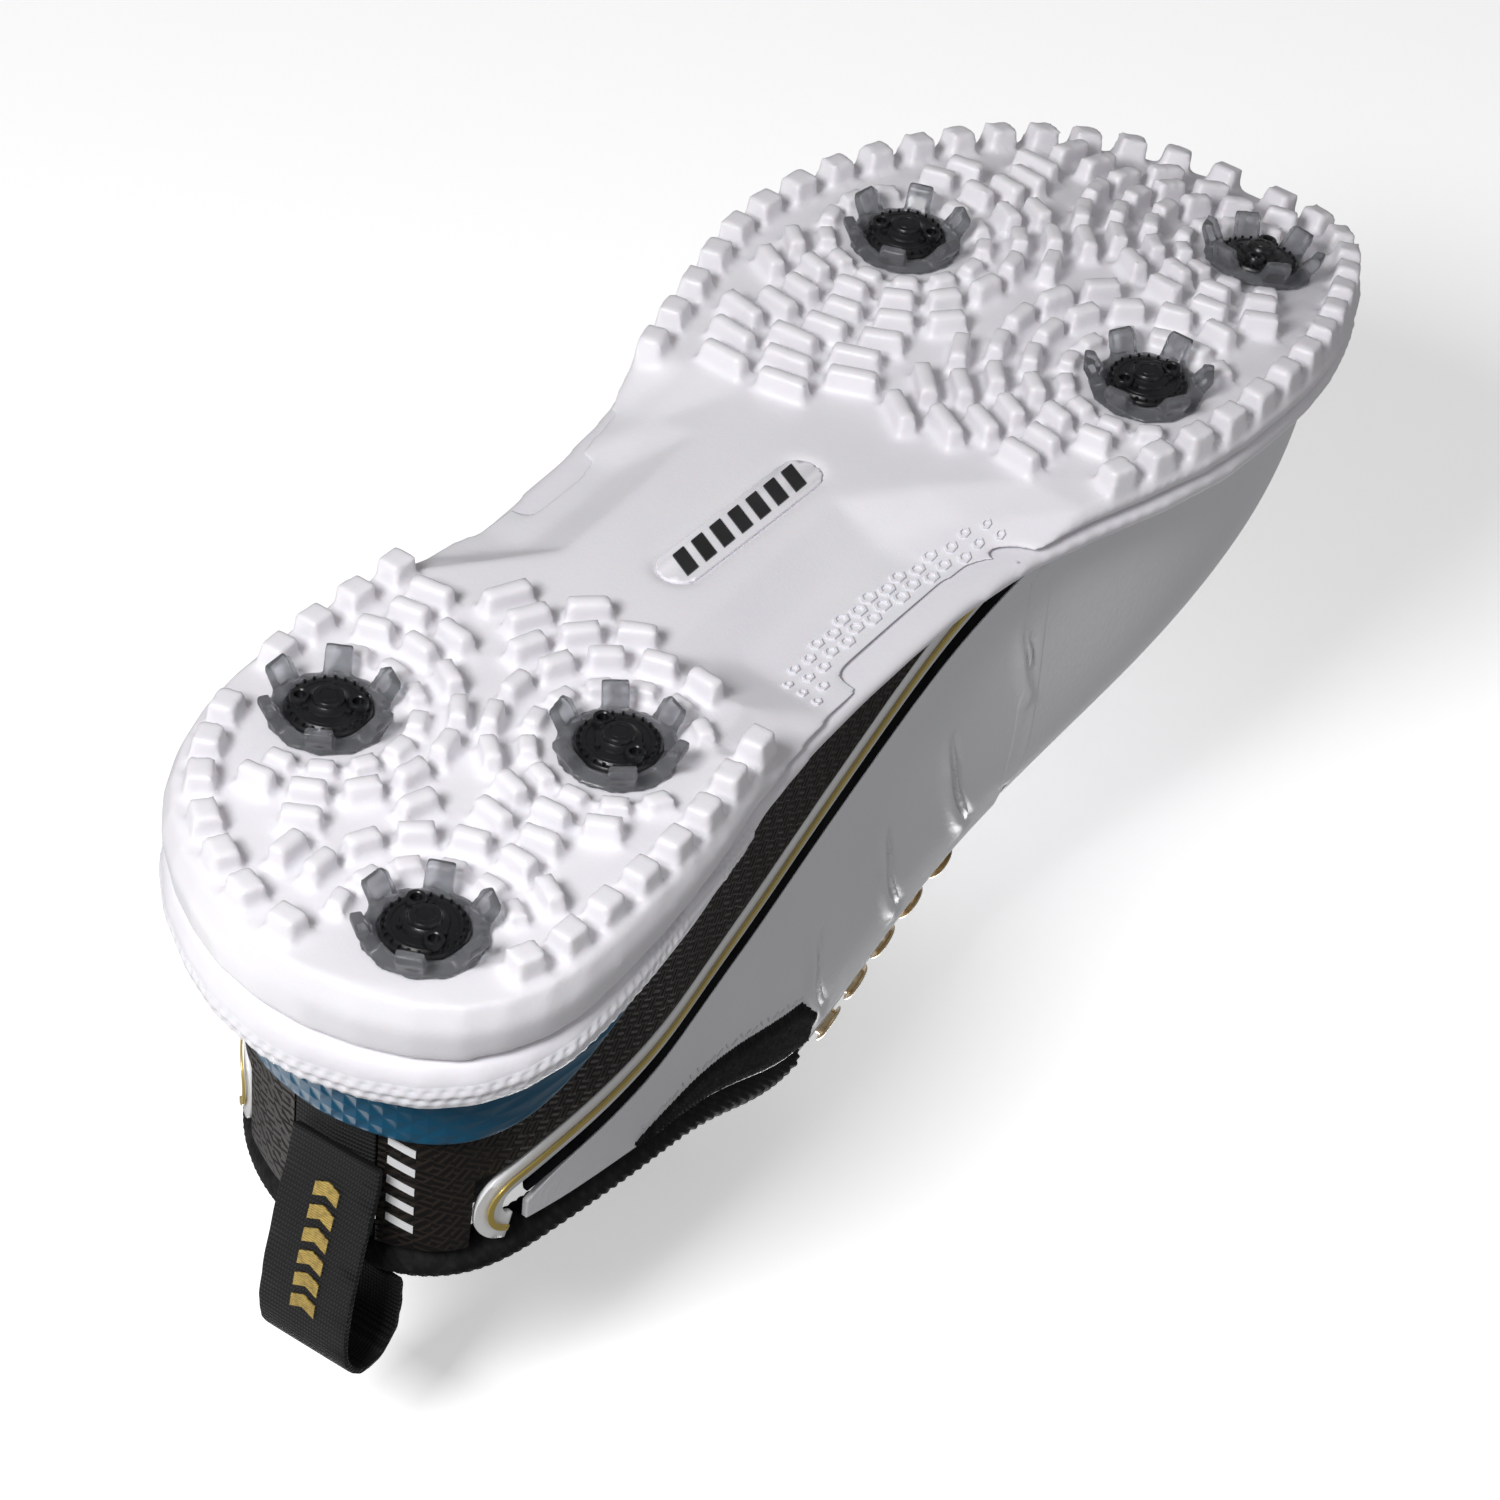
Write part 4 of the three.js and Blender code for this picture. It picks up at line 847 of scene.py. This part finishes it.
def press_creases(piece, side):
    """Walking creases: shallow valleys with a soft ridge beside them."""
    co = places(piece)
    normal = directions(piece)
    y, z = co[:, 1] / MM, co[:, 2] / MM
    depth = np.zeros(len(co))
    for (y0, z0), (y1, z1) in CREASES:
        dy, dz = y1 - y0, z1 - z0
        length = math.hypot(dy, dz)
        t = ((y - y0) * dy + (z - z0) * dz) / length ** 2
        bow = 3.0 * np.sin(np.clip(t, 0, 1) * math.pi)
        off = ((y - y0) * dz - (z - z0) * dy) / length - bow
        fade = np.clip(t / 0.25, 0, 1) * np.clip((1.15 - t) / 0.3, 0, 1)
        depth += fade * (-2.0 * np.exp(-(off / 1.0) ** 2) + 1.3 * np.exp(-((off - 2.7) / 1.5) ** 2))
    outer = (co[:, 0] * side) > 0
    co += normal * (depth * outer * MM)[:, None]
    put_back(piece, co)


def quarters():
    made = {}
    for name, side in SIDES.items():
        piece = curved(f"quarter_{name}", 4)
        press_creases(piece, side)
        smooth_shading(piece, 40)
        made[name] = piece
    return made


def seam_tape(vamp, quarter_pieces):
    """A thin strip of the same leather over the joint between vamp and quarters."""
    tree = surface_of(vamp, *quarter_pieces.values())
    co = places(vamp)
    for name, side in SIDES.items():
        half = co[co[:, 0] * side > 0.004]
        step = 2.0
        line = []
        for z in np.arange(20, 92, step):
            near = half[np.abs(half[:, 2] / MM - z) < step]
            if len(near):
                line.append((near[:, 1].max() / MM, z))
        if len(line) < 4:
            continue
        ys = np.convolve(np.pad([p[0] for p in line], 2, "edge"), np.ones(5) / 5, "valid")
        cast = from_side(tree, side)
        grid = []
        for y, (_, z) in zip(ys, line):
            row = [cast(y + 0.4 + offset, z) for offset in (-2.6, -1.6, -0.6, 0.6, 1.6, 2.6)]
            if all(place is not None for place, _ in row):
                grid.append(row)
        if len(grid) > 3:
            tape_mesh = mesh_from(f"seam_tape_{name}", [draped(grid, -0.25, 0.12)])
            tape = add_piece(f"seam_tape_{name}", tape_mesh, "white_leather")
            rounder = tape.modifiers.new("rounder", "SUBSURF")
            rounder.levels = 1
            rounder.render_levels = 1
            bake(tape)
            smooth_shading(tape, 50)


def heel_hashes(pieces):
    """Six slanted white dashes beside the pull loop."""
    cast = from_behind(surface_of(*pieces))
    shells = []
    left, bottom, pitch = 20.4, 51.5, 4.6
    for k in range(6):
        height = bottom + pitch * k
        grid = []
        for i in range(3):
            grid.append([cast(left + 0.75 * j, height + 0.8 * i + 0.36 * j) for j in range(7)])
        if all(place is not None for row in grid for place, _ in row):
            shells.append(draped(grid, -0.2, 0.3))
    if shells:
        piece = add_piece("heel_dashes", mesh_from("heel_dashes", shells), "stripe_leather")
        smooth_shading(piece, 40)


def rib_along(piece, pitch, depth, slant):
    """Presses slanted ribs into a roll that runs round the ankle."""
    co = places(piece)
    normal = directions(piece)
    centre = (co.min(0) + co.max(0)) / 2
    theta = np.arctan2(co[:, 1] - centre[1], co[:, 0] - centre[0])
    bins = 72
    index = np.clip(((theta + math.pi) / (2 * math.pi) * bins).astype(int), 0, bins - 1)
    middle = [co[index == k].mean(0) if (index == k).any() else None for k in range(bins)]
    length = [0.0]
    for a, b in zip(middle, middle[1:]):
        step = np.linalg.norm(b - a) if a is not None and b is not None else 0.004
        length.append(length[-1] + step)
    arc = np.interp((theta + math.pi) / (2 * math.pi) * bins - 0.5, np.arange(bins), length) / MM
    height = co[:, 2] / MM
    wave = np.sin(2 * math.pi * (arc + slant * height) / pitch)
    co += normal * (wave * depth * MM)[:, None]
    put_back(piece, co)


def collar():
    piece = curved("collar", 4)
    rib_along(piece, 1.9, 0.2, 0.9)
    smooth_shading(piece)


def top_edge(cast, y):
    """Height in millimetres at which the wall at y begins, looking from the top down."""
    z = 130.0
    while z > 40:
        z -= 0.5
        if cast(y, z)[0] is not None:
            return z
    return None


KNIT_THICKNESS = 0.75
KNIT_RIB = 0.22


def knit_facing(quarter_pieces, panels):
    """Ribbed knit below the collar roll, widest at the front of the ankle, laid over the panels."""
    for name, side in SIDES.items():
        cast = from_side(surface_of(quarter_pieces[name], panels[name]), side)
        columns, rows = 260, 9
        front, back = 24, 90
        widest, narrowest = 15.5, 0.8
        grid = []
        for j in range(columns):
            y = front + (back - front) * j / (columns - 1)
            z = top_edge(cast, y)
            if z is None:
                continue
            share = j / (columns - 1)
            width = widest * (1 - share) ** 0.8 * min(1, 0.45 + 5 * share) + narrowest
            line = [cast(y, z - 0.2 - width * i / (rows - 1)) for i in range(rows)]
            if all(at is not None for at, _ in line):
                grid.append(line)
        if len(grid) < 10:
            continue

        def lift(i, j):
            edge = min(i, len(grid) - 1 - i, 4 * j, 4 * (rows - 1 - j), 4) / 4
            rib = KNIT_RIB * math.sin(2 * math.pi * (i / 5.2 + j * 0.55))
            return (KNIT_THICKNESS + rib) * edge

        piece = add_piece(f"knit_facing_{name}", mesh_from("facing", [draped(grid, -0.3, lift)]), "knit")
        smooth_shading(piece, 60)
        hem = []
        for line in grid:
            at, normal = line[-1]
            hem.append((at + Vector((0, 0, -1.6 * MM)), normal))
        seam_stitches(f"facing_stitches_{name}", hem)


def tongue():
    piece = curved("tongue", 3)
    co = places(piece)
    normal = directions(piece)
    y = co[:, 1] / MM
    channel = np.exp(-(((y + 4) % 14 - 7) / 1.3) ** 2)
    co -= normal * (channel * 0.9 * MM)[:, None]
    put_back(piece, co)
    smooth_shading(piece)


def pull_loop():
    piece = curved("pull_loop", 2, 60)
    low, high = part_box("pull_loop")
    cast = from_behind(surface_of(piece))
    shells = []
    middle = (low.x + high.x) / 2 / MM
    bottom, pitch, half_width = 64, 4.6, 2.6
    for k in range(6):
        height = bottom + pitch * k
        grid = []
        for i in range(4):
            row = []
            for j in range(5):
                u = j / 2 - 1
                row.append(cast(middle + u * half_width, height + i * 0.9 + abs(u) * 1.1))
            grid.append(row)
        if all(place is not None for row in grid for place, _ in row):
            shells.append(draped(grid, -0.1, 0.22))
    add_piece("loop_chevrons", mesh_from("loop_chevrons", shells), "webbing", "pull_loop", "gold_yarn")


# ---------------------------------------------------------------- cleats
def lathe(profile, segments):
    """(r, z) profile in millimetres turned round the Z axis; it starts and ends close to the axis,
    or closes on itself."""
    points, faces = [], []
    for r, z in profile:
        for k in range(segments):
            turn = 2 * math.pi * k / segments
            points.append(Vector((r * math.cos(turn), r * math.sin(turn), z)))
    for ring in range(len(profile) - 1):
        for k in range(segments):
            n = (k + 1) % segments
            faces.append((ring * segments + k, ring * segments + n,
                          (ring + 1) * segments + n, (ring + 1) * segments + k))
    return points, faces


def placed(shell, angle, reach):
    """The shell moved sideways by reach millimetres in the direction of angle."""
    points, faces = shell
    x = reach * math.cos(angle)
    y = reach * math.sin(angle)
    return [Vector((p.x + x, p.y + y, p.z)) for p in points], faces


def bead(radius, tube, z, segments=40):
    """A thin raised ring."""
    profile = [(radius + tube * math.cos(t), z - tube * math.sin(t))
               for t in (k * math.pi / 3 for k in range(7))]
    return lathe(profile, segments)


HUB_PROFILE = [(0.01, -4.95), (2.2, -4.95), (2.6, -4.85), (2.85, -4.55), (2.95, -4.05), (3.3, -3.75),
               (4.0, -3.55), (4.2, -3.15), (6.3, -2.95), (6.6, -2.6), (7.3, -2.45), (7.6, -2.1),
               (7.7, -1.5), (7.5, -0.9), (6.8, -0.6), (0.01, -0.6)]
SOCKET_PROFILE = [(1.0, -2.9), (1.0, -4.15), (1.2, -4.35), (1.65, -4.3), (1.85, -4.0), (1.9, -2.9),
                  (1.0, -2.9)]
RIB_PROFILE = [(0.01, -3.2), (0.28, -3.15), (0.32, -2.4), (0.01, -2.4)]
MARK_PROFILE = [(0.01, -3.75), (0.5, -3.7), (0.6, -3.1), (0.01, -3.1)]
SKIRT_PROFILE = [(7.9, -0.45, 0), (7.9, -1.25, 0), (9.4, -1.1, 0.2), (10.3, -0.85, 0.45),
                 (10.4, -0.5, 0.45)]  # radius, height and how far the scallops reach
HOLE_TURN = {"toe": 75, "ball_medial": 120, "ball_lateral": 160, "heel_front": 20, "heel_side": 150,
             "heel_back": 35}


def hub_shells(turn):
    """Turned body with two rings, two wrench sockets, ribs round the rim and three marks."""
    shells = [lathe(HUB_PROFILE, 48), bead(1.7, 0.16, -4.95, 28), bead(5.6, 0.14, -3.0)]
    for angle in (turn, turn + math.pi):
        shells.append(placed(lathe(SOCKET_PROFILE, 24), angle, 5.0))
    ribs = 24
    for k in range(ribs):
        shells.append(placed(lathe(RIB_PROFILE, 6), 2 * math.pi * k / ribs, 6.95))
    marks = 3
    for k in range(marks):
        angle = turn + math.pi / 2 + 2 * math.pi * k / marks
        shells.append(placed(lathe(MARK_PROFILE, 10), angle, 4.3))
    return shells


def skirt_shell(turn):
    """Clear disc with a scalloped rim that lies against the sole."""
    segments = 96
    points, faces = [], []
    for r, z, wave in SKIRT_PROFILE:
        for k in range(segments):
            angle = 2 * math.pi * k / segments
            reach = r + wave * math.cos(12 * (angle - turn))
            points.append(Vector((reach * math.cos(angle), reach * math.sin(angle), z)))
    rings = len(SKIRT_PROFILE)
    for ring in range(rings):
        following = (ring + 1) % rings
        for k in range(segments):
            n = (k + 1) % segments
            faces.append((ring * segments + k, ring * segments + n,
                          following * segments + n, following * segments + k))
    return points, faces


def cleat(name):
    """Hub, splayed legs and skirt of one cleat, standing on its twist axis."""
    joint = JOINTS[f"cleat_{name}_twist"]
    place = Vector(joint["pos_m"])
    axis = -Vector(joint["axis"]).normalized()
    turn = math.radians(HOLE_TURN[name])
    tilt = Vector((0, 0, 1)).rotation_difference(axis)

    def settled(shells):
        return [([place + tilt @ (p * MM) for p in points], faces) for points, faces in shells]

    body = f"cleat_{name}"
    hub_mesh = mesh_from("hub", settled(hub_shells(turn)))
    hub = add_piece(f"cleat_{name}_hub_turned", hub_mesh, "cleat_hub", body)
    smooth_shading(hub, 35)
    stand_for(hub, f"cleat_{name}_hub")
    skirt_mesh = mesh_from("skirt", settled([skirt_shell(turn)]))
    skirt = add_piece(f"cleat_{name}_skirt", skirt_mesh, "cleat_clear", body)
    smooth_shading(skirt, 50)
    moulded(f"cleat_{name}_legs", 0.36, 5)


# ---------------------------------------------------------------- assembly
def carried_over():
    """Nodes whose CAD shape is right keep it and get their material."""
    for node, piece in NODES.items():
        if piece.hide_render:
            continue
        piece.data.materials.clear()
        piece.data.materials.append(MATERIALS[SLOT_OF[node]])
        smooth_shading(piece, 35)


def build():
    outsole_piece = outsole()
    midsole = moulded("midsole", 1.2, 14)
    curved("sole_badge", 1, 40)
    badge_bars(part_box("sole_badge"))
    dimple_band(midsole)
    arch_hexagons(outsole_piece)
    vamp = curved("vamp", 3)
    quarter_pieces = quarters()
    seam_tape(vamp, quarter_pieces)
    strip = curved("heel_strip", 3)
    panels = {}
    for name in SIDES:
        panels[name] = curved(f"carbon_panel_{name}", 2)
        for node in ("stripe", "pinstripe", "edge_line"):
            curved(f"{node}_{name}", 2)
        curved(f"eyestay_{name}", 1, 40)
        curved(f"lining_{name}", 2)
        for row in range(1, 6):
            curved(f"eyelet_{name}_{row}", 2, 80)
    curved("heel_stabiliser", 3)
    curved("vamp_lining", 2)
    curved("footbed", 2)
    curved("toe_puff", 2)
    curved("heel_counter", 2)
    heel_hashes([strip, *panels.values()])
    knit_facing(quarter_pieces, panels)
    collar()
    tongue()
    pull_loop()
    for name in CLEATS:
        cleat(name)
    carried_over()


make_world()
make_camera()
make_lights()
make_stage()
build()
